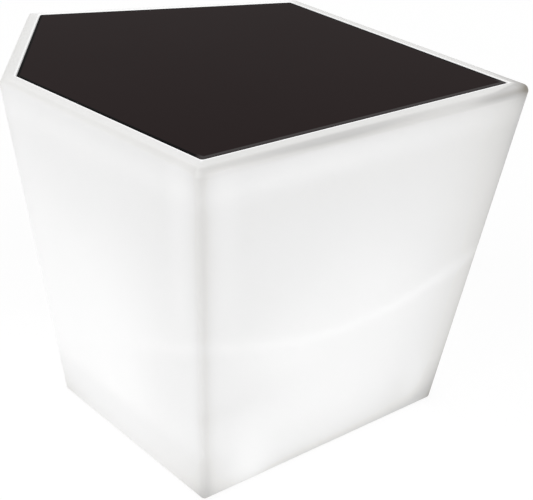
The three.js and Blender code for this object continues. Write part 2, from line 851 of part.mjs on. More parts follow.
// Cell lying along X, with a contact nub at one end that faces each way in turn
function makeCell(number) {
  const profile = [
    [0, 0],
    [cellRadius, 0],
    [cellRadius, cellLength],
    [cellNubRadius, cellLength],
    [cellNubRadius, cellLength + cellNubLength],
    [0, cellLength + cellNubLength],
  ];
  const geometry = new THREE.LatheGeometry(
    profile.map(([radius, height]) => new THREE.Vector2(radius, height)),
    mediumSides,
  );
  const facing = number % 2 === 0 ? 1 : -1;
  const row = (number - (cellCount - 1) / 2) * cellPitch;
  geometry.translate(0, -(cellLength + cellNubLength) / 2, 0);
  geometry.rotateZ((-facing * Math.PI) / 2);
  geometry.translate(trayPlace.x, trayPlace.y + row, cellLevel);
  return solidOf(geometry);
}

// Round aluminium plate that carries the light sources
function makePlate() {
  const plate = rod(plateRadius, plateBottom, plateTop, largeSides, lampAxis);
  const holes = plateScrewPlaces.map((place) =>
    rod(plateScrewRadius + seatGap, plateBottom - cutOverrun, plateTop + cutOverrun, smallSides, place),
  );
  return without(plate, ...holes);
}

// Light source: a square base with a round lens on it
function makeLed(place) {
  const bottom = plateTop + seatGap;
  const base = block(ledSide, ledSide, bottom, bottom + ledBaseHeight, place);
  const lens = new THREE.SphereGeometry(ledLensRadius, smallSides, smallSides / 2);
  lens.translate(place.x, place.y, bottom + ledBaseHeight);
  const room = block(ledSide, ledSide, bottom, bottom + ledBaseHeight + ledLensRadius, place);
  return joined(base, solidOf(lens).intersect(room));
}

function makeSeal() {
  return without(
    rod(housingRadius, sealBottom, sealBottom + sealThickness, largeSides, lampAxis),
    rod(
      housingInnerRadius,
      sealBottom - cutOverrun,
      sealBottom + sealThickness + cutOverrun,
      largeSides,
      lampAxis,
    ),
  );
}

// Frosted dome: a flange on the seal, a skirt down to the plate and a cap that is part of a sphere
function makeDome() {
  const skirtBottom = plateTop + seatGap;
  const sphereRadius = (plateRadius ** 2 + domeRise ** 2) / (domeRise * 2);
  const sphereLevel = domeFlangeTop + domeRise - sphereRadius;
  const arc = (radius, reach) => {
    const sweep = Math.asin(reach / radius);
    return Array.from({ length: domeSteps + 1 }, (_, i) => {
      const angle = sweep * (1 - i / domeSteps);
      return [radius * Math.sin(angle), sphereLevel + radius * Math.cos(angle)];
    });
  };
  const outerArc = arc(sphereRadius, plateRadius);
  const innerArc = arc(sphereRadius - domeWall, plateRadius - domeWall).reverse();
  outerArc[domeSteps][0] = 0;
  innerArc[0][0] = 0;
  const profile = [
    ...innerArc,
    [plateRadius - domeWall, skirtBottom],
    [plateRadius, skirtBottom],
    [plateRadius, domeFlangeBottom],
    [housingRadius, domeFlangeBottom],
    [housingRadius, domeFlangeTop],
    ...outerArc,
  ];
  return turned(profile, largeSides, lampAxis);
}

// Plug pushed into the vent: a head under the floor, a stem and a lip above it
function makeVentPlug() {
  const headTop = shellBottom - seatGap;
  const lipBottom = floorTop + seatGap;
  const stem = ventRadius - seatGap;
  return turned(
    [
      [0, headTop - ventHeadThickness],
      [ventHeadRadius, headTop - ventHeadThickness],
      [ventHeadRadius, headTop],
      [stem, headTop],
      [stem, lipBottom],
      [stem + ventLip, lipBottom],
      [stem, lipBottom + ventLip * 2],
      [0, lipBottom + ventLip * 2],
    ],
    smallSides,
    ventPlace,
  );
}

// A lead as a round tube along a smooth curve
function makeLead(points) {
  const section = new THREE.Shape();
  section.absarc(0, 0, leadRadius, 0, Math.PI * 2);
  const extrudePath = new THREE.CatmullRomCurve3(points);
  const options = { extrudePath, steps: leadSteps, curveSegments: leadSides / 2, bevelEnabled: false };
  return solidOf(new THREE.ExtrudeGeometry(section, options));
}

const connectorMiddle = (connectorBottom + connectorTop) / 2;

// From the middle of the tray's end wall, over it and into the board's connector
function makeBatteryLead() {
  const wallX = -(trayInnerLength + trayWall) / 2;
  const start = fromLampAxis(wallX, -leadBow);
  const end = connectorPlace.clone().add(new THREE.Vector2(-connectorLength / 2 - seatGap, 0));
  return makeLead([
    new THREE.Vector3(start.x, start.y, trayTop + seatGap),
    new THREE.Vector3(start.x, start.y, trayTop + leadBow),
    new THREE.Vector3(start.x - leadBow, (start.y + end.y) / 2, connectorMiddle + leadBow / 2),
    new THREE.Vector3(end.x - leadBow, end.y, connectorMiddle),
    new THREE.Vector3(end.x, end.y, connectorMiddle),
  ]);
}

// From the board's far end up to the underside of the light plate
function makeLedLead() {
  const start = onBoard([boardLength / 2 - boardPostInset * 2, boardWidth / 4]);
  const rise = plateBottom - boardTop;
  return makeLead([
    new THREE.Vector3(start.x, start.y, boardTop + seatGap),
    new THREE.Vector3(start.x, start.y, boardTop + rise / 3),
    new THREE.Vector3(start.x - leadBow, start.y, boardTop + (rise * 2) / 3),
    new THREE.Vector3(start.x - leadBow, start.y, plateBottom - seatGap),
  ]);
}

addPiece('body_shell', makeShell(), materials.shell);
addPiece('glass_top', makeGlass(), materials.glass);

insetCorners(rimCorners, rimWidth + padInset).forEach((place, i) => {
  addPiece(
    `glass_pad_${i + 1}`,
    rod(padRadius, padBottomLevel, padTopLevel, mediumSides, place),
    materials.clearSilicone,
  );
});

footPlaces.forEach((place, i) => {
  addPiece(`foot_${i + 1}`, makeFoot(place), materials.blackRubber);
  const headTop = footBoreDepth - seatGap;
  const shankTop = footPocketTop + footScrewGrip;
  addPiece(
    `foot_screw_${i + 1}`,
    makeScrew(place, footScrewHeadRadius, footScrewHeadHeight, footScrewRadius, headTop, shankTop),
    materials.steel,
  );
});

addPiece('vent_plug', makeVentPlug(), materials.greyRubber);
addPiece('lamp_gasket', makeGasket(), materials.greyRubber);
addPiece('lamp_housing', makeHousing(), materials.whitePlastic);

housingScrewPlaces.forEach((place, i) => {
  addPiece(`shell_insert_${i + 1}`, makeInsert(place), materials.brass);
  const headTop = housingBottom + counterboreDepth - seatGap;
  const shankTop = lampSeat + insertLength - screwEndGap;
  addPiece(
    `housing_screw_${i + 1}`,
    makeScrew(
      place,
      housingScrewHeadRadius,
      housingScrewHeadHeight,
      housingScrewRadius,
      headTop,
      shankTop,
    ),
    materials.steel,
  );
});

addPiece('power_button', makeButton(), materials.greyRubber);
addPiece(
  'switch_plunger',
  rod(plungerRadius, plungerBottom, plungerTop, smallSides, buttonAxis),
  materials.whitePlastic,
);
addPiece('button_switch', makeSwitch(), materials.blackPlastic);
addPiece('charge_socket', makeSocket(), materials.blackPlastic);
addPiece('socket_cap', makeCap(), materials.greyRubber);
addPiece('cap_pin', hingeRod(hingePinRadius, -earOuter, earOuter), materials.steel);
addPiece('status_lens', makeLens(), materials.frosted);

addPiece('control_board', makeBoard(), materials.boardGreen);
boardScrewPlaces.forEach((place, i) => {
  const headBottom = boardTop + seatGap;
  addPiece(
    `board_screw_${i + 1}`,
    makeDownScrew(
      place,
      boardScrewHeadRadius,
      boardScrewHeadHeight,
      boardScrewRadius,
      headBottom,
      boardBottom - boardScrewGrip,
    ),
    materials.steel,
  );
});
addPiece(
  'control_chip',
  block(chipSide, chipSide, boardTop + seatGap, boardTop + seatGap + chipHeight, onBoard(chipPlace)),
  materials.blackPlastic,
);
addPiece(
  'radio_module',
  block(radioLength, radioWidth, boardTop + seatGap, boardTop + seatGap + radioHeight, radioPlace),
  materials.steel,
);
addPiece(
  'board_connector',
  block(connectorLength, connectorWidth, connectorBottom, connectorTop, connectorPlace),
  materials.whitePlastic,
);

addPiece('battery_tray', makeTray(), materials.blackPlastic);
for (let number = 0; number < cellCount; number += 1) {
  addPiece(`battery_cell_${number + 1}`, makeCell(number), materials.cellBlue);
}
addPiece('battery_lead', makeBatteryLead(), materials.wireRed);
addPiece('led_lead', makeLedLead(), materials.wireRed);

addPiece('led_plate', makePlate(), materials.aluminium);
plateScrewPlaces.forEach((place, i) => {
  addPiece(
    `plate_screw_${i + 1}`,
    makeDownScrew(
      place,
      plateScrewHeadRadius,
      plateScrewHeadHeight,
      plateScrewRadius,
      plateTop + seatGap,
      plateBottom - plateScrewGrip,
    ),
    materials.steel,
  );
});
placesOnCircle(ledCount, plateRadius * ledRingShare).forEach((place, i) => {
  addPiece(`led_${i + 1}`, makeLed(place), materials.ledYellow);
});
addPiece('dome_seal', makeSeal(), materials.greyRubber);
addPiece('lamp_dome', makeDome(), materials.frosted);

// The origin goes under the middle of the rounded rim
const middle = new THREE.Box3().setFromObject(table).getCenter(new THREE.Vector3());
table.position.set(-middle.x, -middle.y, 0);

export default table;
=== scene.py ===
# A light-up side table: a hollow five-sided shell of white plastic that glows from inside, a sheet of
# black glass let into its rim, and a battery lamp unit under its floor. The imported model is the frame,
# in metres, +Z up. Sizes below are millimetres, times mm.
import math

import bpy
import numpy as np
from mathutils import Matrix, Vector
from mathutils.geometry import tessellate_polygon


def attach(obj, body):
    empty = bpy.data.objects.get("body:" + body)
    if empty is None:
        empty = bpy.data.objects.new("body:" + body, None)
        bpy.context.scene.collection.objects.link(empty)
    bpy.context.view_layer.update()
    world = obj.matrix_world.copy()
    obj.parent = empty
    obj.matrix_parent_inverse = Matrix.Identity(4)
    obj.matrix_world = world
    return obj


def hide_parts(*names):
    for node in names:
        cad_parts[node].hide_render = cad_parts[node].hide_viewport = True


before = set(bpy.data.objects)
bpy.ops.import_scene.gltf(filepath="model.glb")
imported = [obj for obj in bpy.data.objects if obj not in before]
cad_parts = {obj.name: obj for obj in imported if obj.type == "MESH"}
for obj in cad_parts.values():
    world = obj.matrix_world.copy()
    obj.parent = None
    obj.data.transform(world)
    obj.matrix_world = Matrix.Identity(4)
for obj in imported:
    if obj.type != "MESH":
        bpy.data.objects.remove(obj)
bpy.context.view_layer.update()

# Camera: above the front of the table and looking down at it, as in the photograph. A long lens, not
# rolled, with no shift and everything sharp.
studio = bpy.context.scene
mm = 0.001
focal_length = 64.595
camera_place = (22.52, -1125.92, 787.88)
tilt_down = 27.793
eye = bpy.data.cameras.new("view_from_the_front")
eye.lens = focal_length
eye.clip_end = 30
camera = bpy.data.objects.new("camera", eye)
camera.location = [size * mm for size in camera_place]
camera.rotation_euler = (math.radians(90 - tilt_down), 0, 0)
studio.collection.objects.link(camera)
studio.camera = camera
studio.view_settings.view_transform = "Standard"

# Shell: one hollow moulding of white polyethylene, turned in an oven until its wall is about 5 mm. It is
# five-sided and narrows towards the floor. Its rim is sunk for the glass, and its underside has pockets
# for the feet, a stepped opening for the lamp unit and a vent. The light inside comes through its wall.
table_height, floor_level = 450, 3
rim_size, plan_middle = (645, 662), (1.1438, -0.5906)
rim_corners = np.array([[-0.064, -0.5], [0.5, -0.1235], [0.103, 0.5], [-0.5, 0.377], [-0.4465, -0.0895]])
rim_corners = rim_corners * rim_size + plan_middle
rim_middle = rim_corners.mean(axis=0)
taper = 0.186
taper_axis = np.array([-0.158, 0.002]) * rim_size + plan_middle
lamp_axis = np.array([-60.6014, 17.3306])
wall, corner_radius = 5, 6
rim_edge, base_edge, inner_edge = 9, 5, 5
rim_turn_level = table_height - rim_edge
seat_inset, seat_level, seat_corner = 19, 441.5, 4
ceiling_level, inner_floor, boss_top = 436.5, 8, 18
foot_inset, pocket_radius, foot_boss_radius = 42, 16.3, 21.8
foot_hole_radius, foot_hole_top = 2.4, 15.8
recess_radius, lamp_seat = 95.9626, 9
opening_radius, lamp_boss_radius = 79.9626, 103.9626
insert_circle, insert_radius, insert_top = 87.9626, 3.5, 15.7
vent_radius, vent_share = 5, 0.56
landing = 2
foot_count, lamp_count, hole_count, vent_count = 48, 128, 24, 32
coarse_shares = np.r_[0.006, np.linspace(0.03, 0.97, 16), 0.994]
fine_shares = np.r_[0.006, np.linspace(0.02, 0.98, 62), 0.994]


def corners_at(height):
    """Corners of the shell at a height, or at each of many: the rim's, drawn evenly towards the taper axis
    as it goes down."""
    drop = (table_height - np.asarray(height)) / (table_height - floor_level)
    return taper_axis + (rim_corners - taper_axis) * (1 - taper * drop)[..., None, None]


def side_directions(corners):
    """Unit directions of the sides that run into and out of each corner, and the sine between them."""
    into = corners - np.roll(corners, 1, axis=0)
    into = into / np.linalg.norm(into, axis=1, keepdims=True)
    out = np.roll(into, -1, axis=0)
    return into, out, into[:, 0] * out[:, 1] - into[:, 1] * out[:, 0]


def drawn_in(corners, inset):
    """Corners moved so that every side lies further in by the inset."""
    into, out, sine = side_directions(corners)
    return corners + (out - into) * (inset / sine)[:, None]


def directions(angle):
    """Unit directions in plan at the given angles."""
    return np.stack([np.cos(angle), np.sin(angle)], axis=-1)


def outline(corners, radius, shares=coarse_shares, arc_steps=8):
    """Closed loop round the corners. At each corner an arc of the radius turns from one side to the next,
    at equal angles, and between arcs the points lie on the straight side at the given shares of it."""
    into, out, sine = side_directions(corners)
    first = np.arctan2(into[:, 1], into[:, 0]) - math.pi / 2
    turn = np.arctan2(sine, (into * out).sum(axis=1))
    angle = first[:, None] + turn[:, None] * np.linspace(0, 1, arc_steps + 1)
    arcs = drawn_in(corners, radius)[:, None] + radius * directions(angle)
    ends, starts = arcs[:, -1:], np.roll(arcs[:, :1], -1, axis=0)
    sides = ends + (starts - ends) * shares[None, :, None]
    return np.concatenate([arcs, sides], axis=1).reshape(-1, 2)


def all_round(count):
    """Equal angles round a full turn."""
    return np.linspace(0, 2 * math.pi, count, endpoint=False)


def circle(centre, radius, count):
    """Closed loop at equal angles round a centre."""
    return np.asarray(centre) + radius * directions(all_round(count))


def circles(places, radius, count):
    return [circle(place, radius, count) for place in places]


def at_height(loop, height):
    """Points of a flat loop raised to a height."""
    return np.column_stack([loop, np.full(len(loop), float(height))])


def ring(corners, inset, radius, height, shares=fine_shares):
    """Outline with rounded corners, drawn in by the inset and raised to a height."""
    return at_height(outline(drawn_in(corners, inset), radius, shares), height)


def rounded_edge(level, radius, way, count, inset=0):
    """Rows of (height, inset) on a quarter circle from a level face to a wall above (1) or below it (-1)."""
    return [(level + way * radius * (1 - math.cos(angle)), inset + radius * (1 - math.sin(angle)))
            for angle in np.linspace(0, math.pi / 2, count)]


def eased(profile, steps=4):
    """Profile with rounded corners. A row is (across, height, ease): the corner gives way to the curve
    (1-t)(1-t) a + 2t(1-t) corner + t t b, where a and b lie on its two sides at the ease's distance."""
    rows = np.array(profile, dtype=float)
    corner, ease = rows[:, :2], rows[:, 2:3]
    ways = [np.roll(corner, step, axis=0) - corner for step in (1, -1)]
    ways = [way / np.maximum(np.linalg.norm(way, axis=1, keepdims=True), 1e-9) for way in ways]
    start, end = ((corner + ease * way)[:, None] for way in ways)
    t = np.linspace(0, 1, steps + 1)[None, :, None]
    curve = (1 - t) ** 2 * start + 2 * t * (1 - t) * corner[:, None] + t**2 * end
    keep = np.ones((len(rows), steps + 1), dtype=bool)
    keep[ease[:, 0] == 0, 1:] = False
    return curve[keep]


def between(loops):
    """Triangles between closed loops in their order: point i of one loop meets point i of the next. The
    face looks along the loop's direction crossed with the way from loop to loop."""
    loops = np.asarray(loops, dtype=float)
    rows, count = loops.shape[:2]
    row, i = np.meshgrid(np.arange(rows - 1), np.arange(count), indexing="ij")
    a, b = row * count + i, row * count + (i + 1) % count
    c, d = b + count, a + count
    triangles = np.stack([np.stack([a, b, c], -1), np.stack([a, c, d], -1)], axis=2)
    return loops.reshape(-1, 3), triangles.reshape(-1, 3)


def stacked(rows, place, count, shape=circle):
    """Loops of a shape round a place, one for each row of (radius, height)."""
    return [at_height(shape(place, radius, count), height) for radius, height in rows]


def turned(profile, place, count):
    """Profile of (radius, height) rows carried round an upright axis at a place."""
    return between(stacked(profile, place, count))


def flat(loops, height, facing):
    """Level face inside the first loop and outside the others, which looks up (1) or down (-1)."""
    raised = [at_height(loop, height) for loop in loops]
    points = np.concatenate(raised)
    triangles = np.array(tessellate_polygon([[Vector(point) for point in loop] for loop in raised]))
    a, b, c = (points[triangles[:, k], :2] for k in range(3))
    turn = (b[:, 0] - a[:, 0]) * (c[:, 1] - a[:, 1]) - (b[:, 1] - a[:, 1]) * (c[:, 0] - a[:, 0])
    return points, triangles if turn.sum() * facing > 0 else triangles[:, ::-1]


def welded(patches):
    """One surface from patches of points and triangles: points at one place become one, and triangles
    that shrink to a line, as at a pole, are dropped."""
    sizes = np.cumsum([0] + [len(points) for points, _ in patches])
    points = np.concatenate([points for points, _ in patches])
    triangles = np.concatenate([faces + offset for (_, faces), offset in zip(patches, sizes)])
    _, first, same = np.unique(np.round(points * 1e4).astype(np.int64), axis=0,
                               return_index=True, return_inverse=True)
    triangles = same.reshape(-1)[triangles]
    a, b, c = triangles.T
    return points[first], triangles[(a != b) & (b != c) & (c != a)]


def make_piece(name, patches, material, body, smooth_to=30):
    """Object from welded patches in millimetres, smooth except where faces meet at more than an angle."""
    points, triangles = welded(patches)
    mesh = bpy.data.meshes.new(name)
    mesh.from_pydata((points * mm).tolist(), [], triangles.tolist())
    mesh.shade_smooth()
    mesh.set_sharp_from_angle(angle=math.radians(smooth_to))
    mesh.materials.append(material)
    made = bpy.data.objects.new(name, mesh)
    studio.collection.objects.link(made)
    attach(made, body)
    return made


base_rings = [(floor_level, base_edge + 0.6)] + rounded_edge(floor_level, base_edge, 1, 9)
wall_rings = [(height, 0) for height in np.r_[8.8, np.linspace(14, 436, 72), 440.2]]
rim_rings = rounded_edge(table_height, rim_edge, -1, 19)[::-1] + [(table_height, rim_edge + 0.6)]
seat_profile = eased([(seat_inset - back, table_height, 0) for back in (6, 2.6, 1.6)]
                     + [(seat_inset, table_height, 0.8), (seat_inset, seat_level, 0.5),
                        (seat_inset + 1, seat_level, 0)])
skin = [ring(corners_at(height), inset, max(corner_radius - inset, 0.5), height)
        for height, inset in base_rings + wall_rings]
skin += [ring(corners_at(rim_turn_level), inset, max(corner_radius - inset, 1.2), height)
         for height, inset in rim_rings]
skin += [ring(rim_corners, inset, seat_corner, height) for inset, height in seat_profile]
seat_middle = at_height(circle(rim_middle, 0, len(skin[0])), seat_level)
skin += [skin[-1] + (seat_middle - skin[-1]) * share for share in (0.06, 0.2, 0.45, 0.75, 1)]

hollow_rings = rounded_edge(ceiling_level, inner_edge, -1, 6, wall)
hollow_rings += [(height, wall) for height in np.linspace(420, 24, 14)]
hollow_rings += rounded_edge(inner_floor, inner_edge, 1, 6, wall)[::-1]
hollow = [ring(corners_at(height), inset, max(2 * wall - inset, 0.5), height, coarse_shares)
          for height, inset in hollow_rings]
ceiling_middle = at_height(circle(rim_middle, 0, len(hollow[0])), ceiling_level)
hollow = [ceiling_middle + (hollow[0] - ceiling_middle) * share for share in (0, 0.3, 0.6, 0.9)] + hollow

foot_places = drawn_in(corners_at(floor_level), foot_inset)
vent_place = lamp_axis + (foot_places[1] - lamp_axis) * vent_share
insert_places = circle(lamp_axis, insert_circle, 8)[1::2]
pocket = eased([(0, foot_hole_top, 0), (foot_hole_radius, foot_hole_top, 0),
                (foot_hole_radius, inner_floor, 0), (pocket_radius, inner_floor, 0.4),
                (pocket_radius, floor_level, 0.7), (pocket_radius + landing, floor_level, 0)])
foot_boss = eased([(foot_boss_radius + landing, inner_floor, 0), (foot_boss_radius, inner_floor, 1.5),
                   (foot_boss_radius, boss_top, 1), (0, boss_top, 0)])
lamp_mouth = eased([(recess_radius - landing / 2, lamp_seat, 0),
                    (recess_radius, lamp_seat, 0.3), (recess_radius, floor_level, 0.7),
                    (recess_radius + landing, floor_level, 0)])
lamp_boss = eased([(lamp_boss_radius + landing, inner_floor, 0), (lamp_boss_radius, inner_floor, 1.5),
                   (lamp_boss_radius, boss_top, 1), (opening_radius, boss_top, 0.6),
                   (opening_radius, lamp_seat, 0)])
insert_hole = [(0, insert_top), (insert_radius, insert_top), (insert_radius, lamp_seat)]
vent_edge = circle(vent_place, vent_radius, vent_count)
moulding = [
    between(skin), between(hollow),
    *(turned(profile, place, foot_count) for profile in (pocket, foot_boss) for place in foot_places),
    *(turned(profile, lamp_axis, lamp_count) for profile in (lamp_mouth, lamp_boss)),
    *(turned(insert_hole, place, hole_count) for place in insert_places),
    between([at_height(vent_edge, inner_floor), at_height(vent_edge, floor_level)]),
    flat([skin[0][:, :2], *circles(foot_places, pocket_radius + landing, foot_count),
          circle(lamp_axis, recess_radius + landing, lamp_count), vent_edge], floor_level, -1),
    flat([circle(lamp_axis, recess_radius - landing / 2, lamp_count),
          circle(lamp_axis, opening_radius, lamp_count),
          *circles(insert_places, insert_radius, hole_count)], lamp_seat, -1),
    flat([hollow[-1][:, :2], *circles(foot_places, foot_boss_radius + landing, foot_count),
          circle(lamp_axis, lamp_boss_radius + landing, lamp_count), vent_edge], inner_floor, 1)]


def add_node(tree, kind, inputs=(), **settings):
    """Shader node of a kind. An input is a value for its socket, or another node's output to join to it."""
    made = tree.nodes.new(kind if kind.startswith("Node") else "ShaderNode" + kind)
    for key, value in settings.items():
        setattr(made, key, value)
    for key, value in dict(inputs).items():
        if isinstance(value, bpy.types.NodeSocket):
            tree.links.new(value, made.inputs[key])
        else:
            made.inputs[key].default_value = value
    return made


def spaced(values):
    """Values named by sockets, whose labels have spaces where Python's names have underscores."""
    return {name.replace("_", " "): value for name, value in values.items()}


def join_up(tree, node, **links):
    for label, source in spaced(links).items():
        tree.links.new(source, node.inputs[label])


def join_bump(tree, shader, height, distance):
    bump = add_node(tree, "Bump", {"Height": height, "Distance": distance})
    join_up(tree, shader, Normal=bump.outputs[0])


def math_node(tree, operation, *values):
    return add_node(tree, "Math", dict(enumerate(values)), operation=operation).outputs[0]


def mixed_colour(tree, share, first, second, blend_type="MIX"):
    inputs = {0: share, 6: first, 7: second}
    return add_node(tree, "Mix", inputs, data_type="RGBA", blend_type=blend_type).outputs[2]


def object_place(tree):
    return add_node(tree, "TexCoord").outputs["Object"]


def noise(tree, place, scale, detail, **more):
    """Soft cloudy values round a half, from noise with so many clouds to the metre."""
    inputs = {"Vector": place, "Scale": scale, "Detail": detail, **more}
    return add_node(tree, "TexNoise", inputs).outputs[0]


def attribute(tree, name):
    return add_node(tree, "Attribute", attribute_name=name).outputs["Fac"]


def new_effect(name, outputs, **inputs):
    """Shader node group with named outputs, and inputs with their values. Also gives the values inside the
    group, and the place on Object coordinates."""
    group = bpy.data.node_groups.new(name, "ShaderNodeTree")
    kinds = {True: "NodeSocketColor", False: "NodeSocketFloat"}
    for label, value in spaced(inputs).items():
        kind = kinds[isinstance(value, tuple)]
        group.interface.new_socket(label, in_out="INPUT", socket_type=kind).default_value = value
    for label in outputs:
        group.interface.new_socket(label, in_out="OUTPUT", socket_type=kinds[label == "Colour"])
    return group, add_node(group, "NodeGroupInput").outputs, object_place(group)


def set_effect(tree, effect, **inputs):
    """Places an effect in a material, with its own values."""
    return add_node(tree, "Group", spaced(inputs), node_tree=effect).outputs


def new_finish(name, **constants):
    """Material with one Principled shader. The constants are set on the shader's own sockets."""
    material = bpy.data.materials.new(name)
    material.use_nodes = True
    shader = material.node_tree.nodes["Principled BSDF"]
    for label, value in spaced(constants).items():
        shader.inputs[label].default_value = value
    return material, material.node_tree, shader


# The skin of a moulding: a fine grain from the mould, broad soft waves, and a mottle in its colour
moulded_skin, given, spot = new_effect(
    "moulded_skin", ("Colour", "Roughness", "Height"), Colour=(0.8, 0.8, 0.8, 1), Mottle=0.05,
    Roughness=0.45, Grain_per_metre=900, Waves_per_metre=12)
tree = moulded_skin
grain = noise(tree, spot, given["Grain per metre"], 2.0)
waves = noise(tree, spot, given["Waves per metre"], 3.0)
mottle = math_node(tree, "MULTIPLY", given["Mottle"], waves)
darker = mixed_colour(tree, 1.0, given["Colour"], (0.6, 0.6, 0.59, 1), "MULTIPLY")
uneven = math_node(tree, "MULTIPLY", math_node(tree, "SUBTRACT", grain, 0.5), 0.25)
join_up(tree, add_node(tree, "NodeGroupOutput"), Colour=mixed_colour(tree, mottle, given["Colour"], darker),
        Roughness=math_node(tree, "ADD", given["Roughness"], uneven),
        Height=math_node(tree, "ADD", math_node(tree, "MULTIPLY", grain, 0.25), waves))

full_glow = 0.7
shell_plastic, tree, shader = new_finish("shell_polyethylene", Emission_Strength=full_glow, IOR=1.5)
skin_out = set_effect(tree, moulded_skin, Colour=(0.84, 0.84, 0.84, 1), Mottle=0.05, Roughness=0.42,
                      Grain_per_metre=700.0, Waves_per_metre=9.0)
# Painted shade: a warm grey mixed into the plastic's colour where less light comes through the wall
painted_shade_colour, dim_tint, full_tint = (0.3, 0.275, 0.24, 1), (0.98, 0.91, 0.74, 1), (1, 1, 1, 1)
plastic = mixed_colour(tree, attribute(tree, "painted_shade"), skin_out["Colour"], painted_shade_colour)
join_up(tree, shader, Base_Color=plastic, Roughness=skin_out["Roughness"])
join_bump(tree, shader, skin_out["Height"], 0.0006)
clouds = noise(tree, object_place(tree), 9.0, 2.5)
cloudy = math_node(tree, "MULTIPLY_ADD", clouds, 0.16, 0.92)
light = math_node(tree, "MULTIPLY", attribute(tree, "glow"), cloudy)
tint = mixed_colour(tree, math_node(tree, "MULTIPLY", light, 3.0), dim_tint, full_tint)
shining = add_node(tree, "VectorMath", {0: tint, "Scale": light}, operation="SCALE")
join_up(tree, shader, Emission_Color=shining.outputs[0])

shell = make_piece("shell_moulding", moulding, shell_plastic, "base", 32)
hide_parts("body_shell")

# How the light comes through. The sides go round from the front left one, and the corners from the front
light_place = (-21, -4, 178)
line_middle, line_slope = (-40, 50), 0.68
brightest_wall, easing_off = 0.355, 0.016
corner_dimming = (0.0, 0.17, 0.1, 0.06, -0.06)
corner_darkness = (0.0, 0.09, 0.05, 0.05, 0.03)
band_reach, band_strength = (5.6, 5.3, 7.6, 7.6, 7.0), (0.58, 1.1, 1.25, 0.13, 0.57)
top_light, beside_glass = (0.18, 0.13, 0.115, 0.27, 0.14), (0.2, 0.26, 0.05, 0.1, 0.1)
seat_light, seat_edge_light, underside_light, least_light = 0.25, 0.42, 0.1, 0.01
right_side = side_directions(rim_corners)[0][1]


def hill(value, middle, width):
    """Bell curve: e to the minus square of the way from the middle over the width."""
    return np.exp(-(((value - middle) / width) ** 2))


def below(value, level, softness):
    """Soft step from 1 below the level to 0 above it: 1 over 1 plus e to the height over the softness."""
    return 1 / (1 + np.exp((value - level) / softness))


def above(value, level, softness):
    """Soft step from 0 below the level to 1 above it."""
    return below(-value, -level, softness)


def side_gaps(points, corners):
    """Distance from each point in to the five sides of an outline, each named by the corner it runs to."""
    into, _, _ = side_directions(corners)
    inward = np.stack([-into[:, 1], into[:, 0]], axis=-1)
    return ((points[:, None, :2] - corners) * inward).sum(axis=-1)


def by_side(points, shares):
    """One value for each point from the five sides' values, blended softly at the corners."""
    gaps = side_gaps(points, rim_corners)
    near = np.exp(-(gaps - gaps.min(axis=1, keepdims=True)) / 4)
    return (near * shares).sum(axis=1) / near.sum(axis=1)


def from_corners(points):
    """Distance in plan from each point to the shell's five corners at its height."""
    return np.linalg.norm(points[:, None, :2] - corners_at(points[:, 2]), axis=-1)


def front_edge_shade(points):
    """Share of a soft band of painted shade, 1 at its middle, along the front upright edge and a little to
    the right of it. It fades out just below the rim."""
    away = points[:, :2] - corners_at(points[:, 2])[:, 0] - 4 * right_side
    return below(points[:, 2], 443, 2) * hill(np.linalg.norm(away, axis=1), 0, 8.5)


def tip_shade_line(points):
    """Share of the line of painted shade under the rim's edge on the way to the right tip."""
    return hill(points[:, 2], 444.5, 3.6) * above(points[:, 0], 262, 8)


def rim_shade_band(points):
    """Share of the band of painted shade along the rim's edge, where the plastic is solid and less light
    comes through. It runs from a few millimetres in on the top, or more at the right tip, to a few down the
    outer wall, or more further right. Each side has its strength, more near the front's middle and on the
    right end of the back right side. The shaded line near the right tip is added."""
    across = points[:, 0]
    at_tip = above(across, 290, 6)
    down_wall = below(table_height - points[:, 2], 7.6 + 0.0115 * np.clip(across, -60, None), 1.6)
    inset = side_gaps(points, rim_corners).min(axis=1)
    over_top = below(inset, by_side(points, band_reach) + 8 * at_tip, 0.9)
    along = 0.55 + 0.65 * hill(across, 90, 75) + 0.16 * hill(across, -70, 60)
    right_back = by_side(points, (0, 0, 1, 0, 0)) * above(across, 215, 10)
    strength = by_side(points, band_strength) * along + 0.18 * at_tip + 0.35 * right_back
    return (strength * down_wall + 0.6 * tip_shade_line(points)) * over_top


